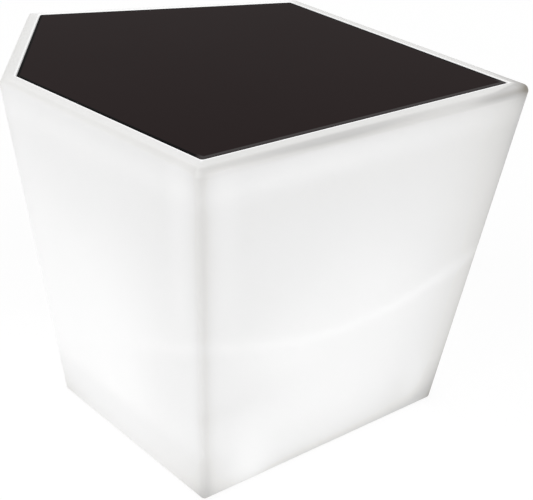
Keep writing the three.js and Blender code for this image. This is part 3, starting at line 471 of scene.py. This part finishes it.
def wall_light(points, normals):
    """Light on the walls: a part that is the same all over, and the cosine of the lamp's slant over a power
    of its distance. It is paler beside the front edge, under the rim and in patches on the right face, and
    less at the foot and along the upright corners, where the plastic lies thickest, each by its own share.
    The sum is eased off towards a highest value. On it comes a fine bright line where the lamp's cone of
    light ends, wider at its right end, with a faint glow along it, and patches and shade near the foot."""
    way = points - light_place
    reach = np.linalg.norm(way, axis=1)
    slant = np.clip((way * normals).sum(axis=1) / reach, 0, 1)
    across, height = points[:, 0], points[:, 2]
    corners = from_corners(points)
    front, right, left = corners[:, 0], corners[:, 1], corners[:, 4]
    rightwards = above(across, -30, 20)
    light = 0.19 + 0.137 * slant * (250 / reach) ** 1.6
    light += 0.035 * hill(front, 31, 14) * above(height, 250, 25)
    light += (0.03 + 0.04 * rightwards * hill(across, 60, 120)) * hill(height, 418, 14)
    light += 0.025 * rightwards * hill(front, 230, 90) * hill(height, 240, 55)
    light -= 0.02 * rightwards * hill(front, 65, 45) * hill(height, 145, 50)
    light -= (0.045 - 0.02 * rightwards) * below(height, 70, 3)
    light -= (0.05 + 0.17 * rightwards) * np.exp(-(height - floor_level) / 14)
    light -= (corner_darkness * hill(corners, 0, 6) + corner_dimming * np.exp(-corners / 45)).sum(axis=1)
    light -= 0.2 * np.exp(-corners.min(axis=1) / 36 - height / 35)
    high_corners = 0.055 * hill(right, 0, 55) + 0.16 * np.exp(-right / 5) + 0.05 * np.exp(-left / 9)
    light -= high_corners * above(height, 370, 20)
    light -= 0.03 * np.exp(-left / 25) * above(height, 200, 30)
    light -= 0.095 * front_edge_shade(points)
    light = brightest_wall - easing_off * np.log1p(np.exp((brightest_wall - light) / easing_off))
    from_line = height - (line_slope * np.linalg.norm(points[:, :2] - line_middle, axis=1) - 1)
    line_end = above(across, 200, 18)
    light += (0.046 + 0.02 * line_end) * hill(from_line, 0, 7 + 2.5 * line_end) * above(across, -100, 25)
    light += 0.012 * rightwards * (1 - line_end) * hill(from_line, 0, 24)
    light += 0.022 * hill(across, 35, 55) * hill(from_line, -24, 20)
    light += 0.165 * rightwards * hill(front, 58, 32) * below(height, 65, 22)
    light += 0.08 * hill(right, 45, 18) * hill(height, 50, 35)
    light -= 0.11 * rightwards * np.exp(-front / 38) * hill(height, 134, 14)
    light -= 0.11 * rightwards * np.exp(-(height - floor_level) / 8) * above(front, 110, 15)
    under_line = below(from_line, -10, 8) * above(height, 100, 20)
    return light - 0.03 * (1 - rightwards) * under_line * hill(front, 80, 60)


def light_through(points, normals):
    """Light that comes through the plastic, as a share of the full glow. The walls have more where they face
    back. The top has each side's own light, and is bright beside the glass. The solid rim is dimmer, and
    the narrow seat round the glass is brightest."""
    walls = wall_light(points, normals) + 0.15 * np.clip(normals[:, 1] / 0.5, 0, 1)
    upward = np.clip((normals[:, 2] - 0.2) / 0.8, 0, 1)
    downward = np.clip(-normals[:, 2] / 0.8, 0, 1)
    inset = side_gaps(points, rim_corners).min(axis=1)
    near_glass = np.clip((inset - seat_inset + 2.4) / 0.8, 0, 1)
    top = by_side(points, top_light) + by_side(points, beside_glass) * near_glass
    light = walls * (1 - upward) * (1 - downward) + top * upward + underside_light * downward
    light -= 0.21 * rim_shade_band(points)
    in_seat = (points[:, 2] > seat_level - 1) & (inset > seat_inset - 0.6)
    in_seat_light = np.where(inset > seat_inset + 0.7, seat_light, seat_edge_light)
    return np.clip(np.where(in_seat, in_seat_light, light), least_light, full_glow) / full_glow


def painted_plastic_shade(points):
    """Share of painted shade in the plastic's colour, darker where the plastic lies thickest and less light
    comes
    through: along the right corner and most at its two ends, at the foot of the front corner, and a little
    along the front edge, the rim's edge and the line under the rim near the right tip."""
    corners, height = from_corners(points), points[:, 2]
    front, right = corners[:, 0], corners[:, 1]
    painted_shade = np.exp(-right / 14) * (0.2 + 0.8 * np.exp(-height / 25))
    painted_shade += 0.75 * hill(np.hypot(right, table_height - height), 0, 15)
    painted_shade += 0.5 * np.exp(-right / 4 - height / 60) + 0.5 * np.exp(-front / 16 - height / 16)
    painted_shade += 0.05 * front_edge_shade(points) + 0.19 * rim_shade_band(points) + 0.2 * tip_shade_line(points)
    return np.clip(painted_shade, 0, 1)


def give_values(made, name, values):
    made.data.attributes.new(name, "FLOAT", "POINT").data.foreach_set("value", values)


def read_rows(items, name):
    """Rows of three numbers that a mesh's items hold under a name."""
    rows = np.empty(len(items) * 3)
    items.foreach_get(name, rows)
    return rows.reshape(-1, 3)


def places_of(made):
    return read_rows(made.data.vertices, "co") / mm


give_values(shell, "glow", light_through(places_of(shell), read_rows(shell.data.vertex_normals, "vector")))
# Painted shade in the plastic's colour, darker where less light comes through
give_values(shell, "painted_shade", painted_plastic_shade(places_of(shell)))

# Glass top: a 6 mm sheet cut to the rim's shape, painted black underneath, with ground arrises. It lies
# loose in the seat.
glass_high, glass_low = 449.6, 443.6
glass_inset, glass_corner, glass_arris = 20, 3, 0.8
glass_rings = [(glass_low, inset) for inset in (60, 3, glass_arris + 0.2, glass_arris)]
glass_rings += [(glass_low + glass_arris, 0), (glass_high - glass_arris, 0)]
glass_rings += [(glass_high, inset)
                for inset in (glass_arris, 1, 1.8, 2.6, 3.3, 4.1, 5, 5.8, 6.6, 7.4, 9, 60)]
glass_loops = [ring(rim_corners, glass_inset + inset, max(glass_corner - inset, 0.5), height, coarse_shares)
               for height, inset in glass_rings]
glass_poles = [at_height(circle(rim_middle, 0, len(glass_loops[0])), height)
               for height in (glass_low, glass_high)]
black_glass, tree, shader = new_finish("black_glass", IOR=1.52, Specular_IOR_Level=0.0, Coat_Weight=0.06,
                                       Coat_IOR=1.52, Coat_Roughness=0.03)
spot = object_place(tree)
haze, smears = noise(tree, spot, 6.0, 4.0), noise(tree, spot, 55.0, 3.0)
pane = mixed_colour(tree, haze, (0.0206, 0.0126, 0.0126, 1), (0.0238, 0.0148, 0.0148, 1))
# Painted shade: a near-black band along the glass's arrises that catch no light, all but the front right one
pane = mixed_colour(tree, attribute(tree, "arris_shade"), pane, (0.0012, 0.0012, 0.0014, 1))
# Painted highlight: a paler line along the front right arris, where it catches light
pane = mixed_colour(tree, attribute(tree, "arris_highlight"), pane, (0.078, 0.072, 0.072, 1))
join_up(tree, shader, Base_Color=pane, Roughness=math_node(tree, "MULTIPLY_ADD", smears, 0.05, 0.03))
glass = make_piece("glass_sheet", [between([glass_poles[0], *glass_loops, glass_poles[1]])], black_glass,
                   "glass", 25)
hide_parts("glass_top")
glass_gaps = side_gaps(places_of(glass), drawn_in(rim_corners, glass_inset))
margin = glass_gaps.min(axis=1)
near_right = np.clip(1 - (glass_gaps[:, 1] - 7) / 3, 0, 1)
# Painted shade along the arrises, all but the front right one
give_values(glass, "arris_shade", np.clip(4.2 - margin, 0, 1) * (1 - near_right))
# Painted highlight along the front right arris
give_values(glass, "arris_highlight",
            near_right * np.clip((7 - margin) / 1.5, 0, 1) * (0.65 + 0.35 * np.clip(margin - 2.5, 0, 1)))

# Glass pads: five discs of clear silicone stuck to the floor of the seat, one under each corner of the
# glass, so that it neither rattles nor slides.
pad_inset = 52
pad_profile = eased([(0, 441.8, 0), (7, 441.8, 0.3), (7, 443.3, 0.6), (0, 443.3, 0)])


def moulded(name, colour, mottle, roughness, grain, waves, depth, **constants):
    """Material of a moulded plastic or rubber: a colour with the skin of its mould, its depth in metres."""
    material, tree, shader = new_finish(name, **constants)
    out = set_effect(tree, moulded_skin, Colour=(*colour, 1), Mottle=mottle, Roughness=roughness,
                     Grain_per_metre=grain, Waves_per_metre=waves)
    join_up(tree, shader, Base_Color=out["Colour"], Roughness=out["Roughness"])
    join_bump(tree, shader, out["Height"], depth)
    return material


clear_silicone = moulded("clear_silicone", (0.73, 0.76, 0.76), 0.1, 0.35, 1500.0, 140.0, 0.0001,
                         IOR=1.41, Transmission_Weight=0.5)
for number, place in enumerate(drawn_in(rim_corners, pad_inset), 1):
    pad = make_piece(f"silicone_pad_{number}", [turned(pad_profile, place, 40)], clear_silicone,
                     "base")
    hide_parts(f"glass_pad_{number}")

# Feet: five discs of black rubber let into pockets in the shell's floor. The tread has three grooves, and
# the bore in its middle hides the head of the zinc-plated screw that holds the foot.
foot_radius, foot_top, foot_bore, tread_bore, groove = 16, 7.7, 2.4, 5.2, 0.7
grooves = [(radius + across, height, 0.15) for radius in (6.9, 9.4, 11.9)
           for across, height in ((0, 0), (0.2, groove), (1, groove), (1.2, 0))]
foot_profile = eased([(tread_bore, 0, 0.4), *grooves, (14.8, 0, 0.5), (foot_radius, 1.2, 0.5),
                      (foot_radius, foot_top, 0.3), (foot_bore, foot_top, 0.2), (foot_bore, 4, 0),
                      (tread_bore, 4, 0.2)])
foot_profile = np.vstack([foot_profile, foot_profile[:1]])

# Dust that rubber picks up: pale patches in soft clouds, duller than the rubber round them
settled_dust, given, spot = new_effect(
    "settled_dust", ("Colour", "Roughness"), Colour=(0.02, 0.02, 0.02, 1), Roughness=0.8,
    Dust_colour=(0.2, 0.19, 0.17, 1), Amount=0.3, Patches_per_metre=90)
tree = settled_dust
dusty = noise(tree, spot, given["Patches per metre"], 5.0, Roughness=0.7)
dusty = add_node(tree, "MapRange", {0: dusty, 1: 0.45, 2: 0.75, 3: 0.0, 4: 1.0}).outputs[0]
dusty = math_node(tree, "MULTIPLY", dusty, given["Amount"])
join_up(tree, add_node(tree, "NodeGroupOutput"),
        Colour=mixed_colour(tree, dusty, given["Colour"], given["Dust colour"]),
        Roughness=math_node(tree, "MULTIPLY_ADD", dusty, 0.2, given["Roughness"]))


def dusty_rubber(name, colour, dust_colour, amount):
    """Material of moulded rubber with dust on it."""
    material, tree, shader = new_finish(name, IOR=1.5, Specular_IOR_Level=0.35)
    skin_out = set_effect(tree, moulded_skin, Colour=(*colour, 1), Mottle=0.3, Roughness=0.72,
                          Grain_per_metre=1800.0, Waves_per_metre=60.0)
    dust = set_effect(tree, settled_dust, Colour=skin_out["Colour"], Roughness=skin_out["Roughness"],
                      Dust_colour=(*dust_colour, 1), Amount=amount, Patches_per_metre=110.0)
    join_up(tree, shader, Base_Color=dust["Colour"], Roughness=dust["Roughness"])
    join_bump(tree, shader, skin_out["Height"], 0.00015)
    return material


# Metal finished with a tool or a brush: fine streaks round the height, and specks of dull plating
worked_metal, given, spot = new_effect(
    "worked_metal", ("Colour", "Roughness", "Height"), Colour=(0.5, 0.5, 0.5, 1), Roughness=0.3,
    Streaks_per_metre=2500, Dulling=0.3)
tree = worked_metal
drawn_out = add_node(tree, "Mapping", {"Vector": spot, "Scale": (0.12, 1.0, 1.0)}).outputs[0]
streaks = noise(tree, drawn_out, given["Streaks per metre"], 3.0)
dull = math_node(tree, "MULTIPLY", noise(tree, spot, 320.0, 4.0), given["Dulling"])
dulled = mixed_colour(tree, 1.0, given["Colour"], (0.45, 0.45, 0.46, 1), "MULTIPLY")
streaky = math_node(tree, "MULTIPLY_ADD", streaks, 0.2, given["Roughness"])
join_up(tree, add_node(tree, "NodeGroupOutput"), Colour=mixed_colour(tree, dull, given["Colour"], dulled),
        Roughness=math_node(tree, "MULTIPLY_ADD", dull, 0.3, streaky), Height=streaks)


def metal(name, colour, roughness, streaks, dulling):
    """Material of a worked metal."""
    material, tree, shader = new_finish(name, Metallic=1.0)
    out = set_effect(tree, worked_metal, Colour=(*colour, 1), Roughness=roughness,
                     Streaks_per_metre=streaks, Dulling=dulling)
    join_up(tree, shader, Base_Color=out["Colour"], Roughness=out["Roughness"])
    join_bump(tree, shader, out["Height"], 0.00002)
    return material


def hexagon(place, radius, count):
    """Closed loop on a hexagon at equal angles: the distance to its flats over the cosine of the angle from
    the middle of the nearest flat."""
    angle = all_round(count)
    reach = radius * math.cos(math.pi / 6) / np.cos(angle % (math.pi / 3) - math.pi / 6)
    return np.asarray(place) + reach[:, None] * directions(angle)


def socket_screw(place, head_radius, head_low, head_high, shank_radius, shank_high, count=48):
    """Screw that points up, from the floor of the hexagon socket in its head, out over the head and up a
    shank whose thread is a row of ridges."""
    pitch, ridge_depth = 0.7, 0.28
    socket = 0.4 * head_radius
    socket_floor = head_low + 0.55 * (head_high - head_low)
    inner = ((0, socket_floor), (socket, socket_floor), (socket, head_low + 0.15), (socket + 0.15, head_low))
    rows = [(socket + 0.9, head_low, 0), (head_radius, head_low, 0.5), (head_radius, head_high, 0.15),
            (shank_radius, head_high, 0.2)]
    for ridge in np.arange(head_high + 0.8, shank_high - 1, pitch):
        rows += [(shank_radius, ridge, 0.05), (shank_radius - ridge_depth, ridge + pitch / 2, 0.05)]
    rows += [(shank_radius, shank_high - 0.8, 0.1), (shank_radius - 0.7, shank_high, 0.1), (0, shank_high, 0)]
    return between(stacked(inner, place, count, hexagon) + stacked(eased(rows, 2), place, count))


black_rubber = dusty_rubber("black_rubber", (0.017, 0.017, 0.017), (0.17, 0.16, 0.145), 0.35)
zinc_plate = metal("zinc_plate", (0.49, 0.5, 0.52), 0.26, 2600.0, 0.35)
for number, place in enumerate(foot_places, 1):
    foot = make_piece(f"rubber_foot_{number}", [turned(foot_profile, place, 64)], black_rubber,
                      "base")
    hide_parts(f"foot_{number}")
    screw = make_piece(f"tread_screw_{number}", [socket_screw(place, 4.4, 1.1, 3.7, 2.1, 15.5)], zinc_plate,
                       "base")
    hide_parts(f"foot_screw_{number}")

# Vent plug: grey rubber, pushed into the hole through which the moulding breathed in its oven. A lip above
# the floor keeps it in.
plug_profile = eased([(0, 1.1, 0), (4.2, 1.1, 0.3), (4.7, 1.5, 0.3), (5.3, 1.5, 0.3), (5.8, 1.1, 0.3),
                      (8.5, 1.1, 0.7), (8.5, 2.7, 0.3), (4.7, 2.7, 0.2), (4.7, 8.3, 0.1), (5.7, 8.3, 0.4),
                      (4.7, 10.3, 0.5), (0, 10.3, 0)])
grey_rubber = dusty_rubber("grey_rubber", (0.147, 0.153, 0.16), (0.35, 0.34, 0.32), 0.2)
plug = make_piece("vent_stopper", [turned(plug_profile, vent_place, 48)], grey_rubber, "base")
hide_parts("vent_plug")

# Lamp housing: a cup of white moulded plastic, let up into the shell's floor, with a flange for its screws.
# Its underside has a sunk well for the button, the charge light and the charging socket, and two ears for
# the cap's hinge. Posts inside carry the board and the light plate.
underside, flange_top, cup_floor, cup_top = 3.4, 6.9, 6.4, 43
flange_radius, cup_radius, bore_radius = 95.3626, 78.4626, 75.4626
ledge_radius, ledge_foot, ledge_low, ledge_top = 71.96, 31.5, 35, 37
screw_bore, head_bore, head_seat = 2.3, 4.1, 5.4
well_offset, well_length, well_width, well_ceiling, well_roof, well_wall = 30.5, 64, 26, 8.4, 11.4, 3
behind_roof, board_level, hinge_level = 11.7, 18.1, 6.3
post_radius, post_bore = 3.6, 1.5
ear_size, ear_low = (2.2, 0.9), 3.6
well_ease = 0.8
cup_count, opening_count, post_count = 160, 40, 24
well_place, button_place, socket_place, lens_place, hinge_place = (
    lamp_axis + (across, well_offset) for across in (0, -20, 13, -5, 23))
well_holes = ((button_place, 6.8), (socket_place, 4.6), (lens_place, 1.9))


def rounded_box(place, half_length, half_width, share=1, count=48):
    """Closed loop round a box with soft corners, or round a share of it: one over the twelfth root of the
    sum of the twelfth powers of cosine over half length and sine over half width."""
    spokes = directions(all_round(count))
    reach = ((spokes / (half_length, half_width)) ** 12).sum(axis=1) ** (-1 / 12)
    return np.asarray(place) + share * reach[:, None] * spokes


def well_loop(extra):
    """Closed loop round the well, wider by an extra: half a circle at each end, joined by straight sides."""
    angle = np.linspace(-math.pi / 2, math.pi / 2, 25)
    end = (well_width / 2 + extra) * directions(angle) + ((well_length - well_width) / 2, 0)
    return well_place + np.concatenate([end, -end])


flange = eased([(flange_radius - landing, underside, 0), (flange_radius, underside, 0.8),
                (flange_radius, flange_top, 0.4), (flange_radius - landing / 2, flange_top, 0)])
cup = eased([(cup_radius + landing / 2, flange_top, 0), (cup_radius, flange_top, 0.8),
             (cup_radius, cup_top, 0.4), (bore_radius, cup_top, 0.4), (bore_radius, ledge_top, 0),
             (ledge_radius, ledge_top, 0.3), (ledge_radius, ledge_low, 0.3), (bore_radius, ledge_foot, 0.5),
             (bore_radius, cup_floor, 1), (bore_radius - landing, cup_floor, 0)])
screw_hole = eased([(screw_bore, flange_top, 0), (screw_bore, head_seat, 0), (head_bore, head_seat, 0.2),
                    (head_bore, underside, 0.3), (head_bore + well_ease, underside, 0)])
well_side = eased([(-well_ease, well_ceiling, 0), (0, well_ceiling, 0.6), (0, underside, 0.6),
                   (well_ease, underside, 0)])
ear_rows = ((0, ear_low), (0.7, ear_low), (0.92, ear_low + 0.15), (1, ear_low + 0.5), (1, well_ceiling))
board_posts = [well_place + (across, along) for across in (-31, 31) for along in (-18.5, 18.5)]
plate_posts = [lamp_axis + (across, 0) for across in (-64.7626, 64.7626)]
ears = [hinge_place + (0, along) for along in (-4.9, 4.9)]
openings = [circle(place, radius, opening_count) for place, radius in well_holes]
housing = [
    *(turned(profile, lamp_axis, cup_count) for profile in (flange, cup)),
    *(turned(screw_hole, place, opening_count) for place in insert_places),
    flat([circle(lamp_axis, flange_radius - landing / 2, cup_count),
          circle(lamp_axis, cup_radius + landing / 2, cup_count),
          *circles(insert_places, screw_bore, opening_count)], flange_top, 1),
    flat([circle(lamp_axis, flange_radius - landing, cup_count), well_loop(well_ease),
          *circles(insert_places, head_bore + well_ease, opening_count)], underside, -1),
    between([at_height(well_loop(extra), height) for extra, height in well_side]),
    flat([well_loop(-well_ease), *openings, *(rounded_box(place, *ear_size) for place in ears)],
         well_ceiling, -1),
    *(between([at_height(loop, well_roof), at_height(loop, well_ceiling)]) for loop in openings),
    *(between([at_height(rounded_box(place, *ear_size, share), height) for share, height in ear_rows])
      for place in ears),
    flat([well_loop(well_wall), *openings], well_roof, 1),
    between([at_height(well_loop(well_wall), height) for height in (cup_floor, well_roof)]),
    flat([circle(lamp_axis, bore_radius - landing, cup_count), well_loop(well_wall),
          *circles(board_posts + plate_posts, post_radius, post_count)], cup_floor, 1),
    *(turned([(post_radius, cup_floor), (post_radius, top), (post_bore, top), (post_bore, top - depth),
              (0, top - depth)], place, post_count)
      for posts, top, depth in ((board_posts, board_level, 5.3), (plate_posts, ledge_top, 8.3))
      for place in posts)]
# The white plastic has a faint painted glow, which lightens it in the shade under the table
white_plastic = moulded("white_plastic", (0.82, 0.82, 0.8), 0.06, 0.48, 1300.0, 25.0, 0.0002, IOR=1.49,
                        Emission_Color=(1, 1, 1, 1), Emission_Strength=0.08)
lamp_housing = make_piece("lamp_unit_housing", housing, white_plastic, "base", 28)
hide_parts("lamp_housing")

# Seals: a flat ring of grey foam rubber between the flange and the shell, and a thinner one under the dome.
# Both are cut from sheet, with holes for the screws.


def finish_nodes(material, *names):
    """Gives CAD nodes whose shape is right a material of their own."""
    for name in names:
        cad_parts[name].material_slots[0].material = material


foam_rubber = dusty_rubber("foam_rubber", (0.13, 0.135, 0.14), (0.25, 0.25, 0.24), 0.1)
finish_nodes(foam_rubber, "lamp_gasket", "dome_seal")

# Housing screws: four zinc-plated socket screws, whose heads lie in the flange. Each turns into a grooved
# brass insert pressed into the shell's floor.
turned_brass = metal("turned_brass", (0.44, 0.27, 0.075), 0.3, 3000.0, 0.2)
for number, place in enumerate(insert_places, 1):
    screw = make_piece(f"flange_screw_{number}", [socket_screw(place, 3.8, 2.7, 5.1, 2, 14.8)], zinc_plate,
                       "base")
    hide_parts(f"housing_screw_{number}")
    finish_nodes(turned_brass, f"shell_insert_{number}")

# Power button: grey rubber with a dished face and a ring round its middle. Behind the well's roof it has a
# retainer and a short stem, which presses the plunger of the switch under the board.
button_profile = eased([(0, 7, 0), (2.1, 6.9, 0.2), (2.35, 6.6, 0.12), (2.85, 6.6, 0.12), (3.1, 6.82, 0.2),
                        (5.2, 6.43, 0.5), (5.9, 6.4, 0.3), (6.5, 7, 0.4), (6.5, behind_roof, 0),
                        (8.1, behind_roof, 0.2), (8.1, 12.9, 0.2), (1.6, 12.9, 0), (1.6, 13.6, 0.2),
                        (0, 13.6, 0)])
button = make_piece("rubber_button", [turned(button_profile, button_place, 64)], grey_rubber,
                    "button")
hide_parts("power_button")
black_plastic = moulded("black_plastic", (0.012, 0.013, 0.014), 0.2, 0.42, 1600.0, 60.0, 0.0001, IOR=1.5)
finish_nodes(white_plastic, "switch_plunger")
finish_nodes(black_plastic, "button_switch")

# Charging socket: black plastic, a square body behind the well's roof and a round neck through it, with a
# bore for the plug and a centre pin.
neck_radius, inlet_size = 4.3, (5, 5)
neck_profile = eased([(0, 10, 0), (1, 10, 0.3), (1, 15.9, 0), (2.85, 15.9, 0), (2.85, 7.4, 0.3),
                      (neck_radius, 7.4, 0.4), (neck_radius, behind_roof, 0)])
body_loops = [at_height(circle(socket_place, neck_radius, 48), behind_roof)]
body_loops += [at_height(rounded_box(socket_place, *inlet_size, share), height)
               for share, height in ((1, behind_roof), (1, board_level), (0, board_level))]
inlet = make_piece("charging_inlet", [turned(neck_profile, socket_place, 48), between(body_loops)],
                   black_plastic, "base")
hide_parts("charge_socket")

# Charge light: a light pipe of frosted acrylic from the board through the well's roof, with a domed end and
# a collar that rests on the roof.
lens_profile = eased([(0, 7.9, 0), (1.6, 7.9, 0.7), (1.6, behind_roof, 0), (2.5, behind_roof, 0.1),
                      (2.5, 12.7, 0.1), (1.6, 12.7, 0), (1.6, board_level, 0.1), (0, board_level, 0)])
frosted_acrylic = moulded("frosted_acrylic", (0.84, 0.86, 0.86), 0.05, 0.55, 2500.0, 80.0, 0.0001,
                          IOR=1.49, Transmission_Weight=0.4)
lens = make_piece("charge_light_pipe", [turned(lens_profile, lens_place, 32)], frosted_acrylic,
                  "base")
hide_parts("status_lens")

# Socket cap: grey rubber, a disc with a hollow nub that plugs the socket, and a web to a barrel that turns
# on a plated pin between the ears.
cap_radius, cap_low, cap_top, web_end, web_half_width, cap_count = 6.6, 5.5, 7.1, 8.85, 2.5, 96
barrel_bore, barrel_radius, barrel_end, pin_radius, pin_end = 1.1, 1.7, 3.7, 0.8, 6.05


def cap_ring(inset, height):
    """Closed loop round the disc and its web: at each angle the longer of the disc's radius and the way to
    the web's end or side."""
    spokes = directions(all_round(cap_count))
    over, aside = np.maximum(spokes[:, 0], 1e-6), np.maximum(np.abs(spokes[:, 1]), 1e-6)
    web = np.minimum((web_end - inset * 0.1) / over, (web_half_width - inset) / aside)
    reach = np.maximum(cap_radius - inset, np.where(spokes[:, 0] > 0, web, 0))
    return at_height(socket_place + reach[:, None] * spokes, height)


def along_y(profile, count=32):
    """Profile of (radius, distance) rows carried round the cap's hinge axis, which is level and along Y."""
    angle = all_round(count)
    return between([np.column_stack([hinge_place[0] + radius * np.sin(angle),
                                     np.full(count, hinge_place[1] + distance),
                                     hinge_level + radius * np.cos(angle)]) for radius, distance in profile])


cap_rows = ((0.9, cap_low), (0.45, 5.56), (0.12, 5.75), (0, 6.05), (0, 6.75), (0.1, 6.95), (0.35, cap_top))
nub_rows = ((2.6, cap_top), (2.36, 7.2), (2.3, 7.45), (2.3, 8.5), (2.2, 8.8), (1.95, 8.9), (1.6, 8.9),
            (1.4, 8.75), (1.4, 7.2), (0, 7.2))
cap_loops = [at_height(circle(socket_place, 0, cap_count), cap_low)] + [cap_ring(*row) for row in cap_rows]
cap_loops += stacked(nub_rows, socket_place, cap_count)
barrel = eased([(barrel_bore, -barrel_end, 0.15), (barrel_radius, -barrel_end, 0.25),
                (barrel_radius, barrel_end, 0.25), (barrel_bore, barrel_end, 0.15)])
cap = make_piece("rubber_cap", [between(cap_loops), along_y(np.vstack([barrel, barrel[:1]]))], grey_rubber,
                 "cap")
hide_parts("socket_cap")
pin_rows = [(0, -pin_end, 0), (pin_radius, -pin_end, 0.3), (pin_radius, pin_end, 0.3), (0, pin_end, 0)]
pin = make_piece("hinge_pin", [along_y(eased(pin_rows))], zinc_plate, "base")
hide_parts("cap_pin")

# Control board: glass fibre with copper tracks under green lacquer, on four posts with two screws. It
# carries a chip, a radio module under a metal can and the battery's connector.
green_board, tree, shader = new_finish("green_board", IOR=1.52, Coat_Weight=0.3, Coat_Roughness=0.2)
spot = object_place(tree)
cells = add_node(tree, "TexVoronoi", {"Vector": spot, "Scale": 260.0}, distance="CHEBYCHEV").outputs[0]
tracks = math_node(tree, "GREATER_THAN", cells, 0.42)
weave = noise(tree, spot, 900.0, 2.0)
lacquer = mixed_colour(tree, weave, (0.01, 0.075, 0.034, 1), (0.018, 0.115, 0.052, 1))
join_up(tree, shader, Base_Color=mixed_colour(tree, tracks, lacquer, (0.04, 0.19, 0.085, 1)),
        Roughness=math_node(tree, "MULTIPLY_ADD", weave, 0.15, 0.35))
join_bump(tree, shader, tracks, 0.00004)
finish_nodes(green_board, "control_board")
finish_nodes(zinc_plate, "board_screw_1", "board_screw_2", "radio_module", "plate_screw_1", "plate_screw_2")
finish_nodes(black_plastic, "control_chip")
finish_nodes(white_plastic, "board_connector")

# Battery: three cells in blue shrink wrap lie side by side in a black tray on the housing's floor. A lead
# in red vinyl runs to the board, and another from the board up to the light plate.
shrink_wrap = moulded("shrink_wrap", (0.03, 0.16, 0.38), 0.15, 0.3, 500.0, 150.0, 0.0002, IOR=1.5,
                      Coat_Weight=0.4, Coat_Roughness=0.15)
red_vinyl = moulded("red_vinyl", (0.37, 0.022, 0.024), 0.15, 0.45, 1500.0, 300.0, 0.00005, IOR=1.53)
finish_nodes(black_plastic, "battery_tray")
finish_nodes(shrink_wrap, "battery_cell_1", "battery_cell_2", "battery_cell_3")
finish_nodes(red_vinyl, "battery_lead", "led_lead")

# Light source: a round aluminium plate on the housing's ledge carries eight light sources, each a small
# block of clear yellow resin with a round lens. A frosted dome covers them.
rolled_aluminium = metal("rolled_aluminium", (0.57, 0.59, 0.61), 0.34, 900.0, 0.15)
yellow_resin = moulded("yellow_resin", (0.85, 0.68, 0.2), 0.2, 0.22, 800.0, 400.0, 0.00005, IOR=1.5,
                       Coat_Weight=0.5, Coat_Roughness=0.1)
finish_nodes(rolled_aluminium, "led_plate")
finish_nodes(yellow_resin, *(f"led_{number}" for number in range(1, 9)))
finish_nodes(frosted_acrylic, "lamp_dome")

# Floor and light: a plain pale floor under plain soft light, the same from both sides. The camera and what
# reflects see them white, and the floor keeps a faint shadow. From below the floor is clear.
floor_glow, room_light, lamp_strength, lamp_spread = 0.88, 0.4, 0.82, 50
floor_mesh = bpy.data.meshes.new("floor")
floor_mesh.from_pydata([(-9, -9, 0), (9, -9, 0), (9, 9, 0), (-9, 9, 0)], [], [(0, 1, 2, 3)])
floor = bpy.data.objects.new("floor", floor_mesh)
studio.collection.objects.link(floor)


def emptied(block):
    """Node tree of a material or world, with nothing in it."""
    block.use_nodes = True
    block.node_tree.nodes.clear()
    return block.node_tree


def mixed_shader(tree, share, first, second):
    return add_node(tree, "MixShader", {0: share, 1: first, 2: second}).outputs[0]


def seen_white(tree, plain, white):
    """Plain surface, and a white one for the camera and for what glossy and clear things show."""
    rays = add_node(tree, "LightPath").outputs
    shown = math_node(tree, "MAXIMUM", rays["Is Glossy Ray"], rays["Is Transmission Ray"])
    return mixed_shader(tree, math_node(tree, "MAXIMUM", rays["Is Camera Ray"], shown), plain, white)


pale_floor = bpy.data.materials.new("pale_floor")
tree = emptied(pale_floor)
matt = add_node(tree, "BsdfDiffuse", {"Color": (0.8, 0.8, 0.8, 1)}).outputs[0]
faint = add_node(tree, "BsdfDiffuse", {"Color": (0.16, 0.16, 0.16, 1)}).outputs[0]
bright = add_node(tree, "Emission", {"Color": (1, 1, 1, 1), "Strength": floor_glow}).outputs[0]
shadowed = add_node(tree, "AddShader", {0: faint, 1: bright}).outputs[0]
clear = add_node(tree, "BsdfTransparent").outputs[0]
from_below = add_node(tree, "NewGeometry").outputs["Backfacing"]
surface = mixed_shader(tree, from_below, seen_white(tree, matt, shadowed), clear)
add_node(tree, "OutputMaterial", {"Surface": surface})
floor_mesh.materials.append(pale_floor)

world = bpy.data.worlds.new("white_room")
tree = emptied(world)
studio.world = world
soft, white = (add_node(tree, "Background", {"Color": (1, 1, 1, 1), "Strength": strength}).outputs[0]
               for strength in (room_light, 1.0))
add_node(tree, "OutputWorld", {"Surface": seen_white(tree, soft, white)})


def add_lamp(name, towards):
    """Distant soft lamp whose light comes from a direction."""
    light = bpy.data.lights.new(name, "SUN")
    light.energy = lamp_strength
    light.angle = math.radians(lamp_spread)
    made = bpy.data.objects.new(name, light)
    made.rotation_euler = Vector(towards).to_track_quat("Z", "Y").to_euler()
    studio.collection.objects.link(made)


add_lamp("lamp_front_left", (-0.62, -0.45, 0.64))
add_lamp("lamp_front_right", (0.5, -0.6, 0.62))
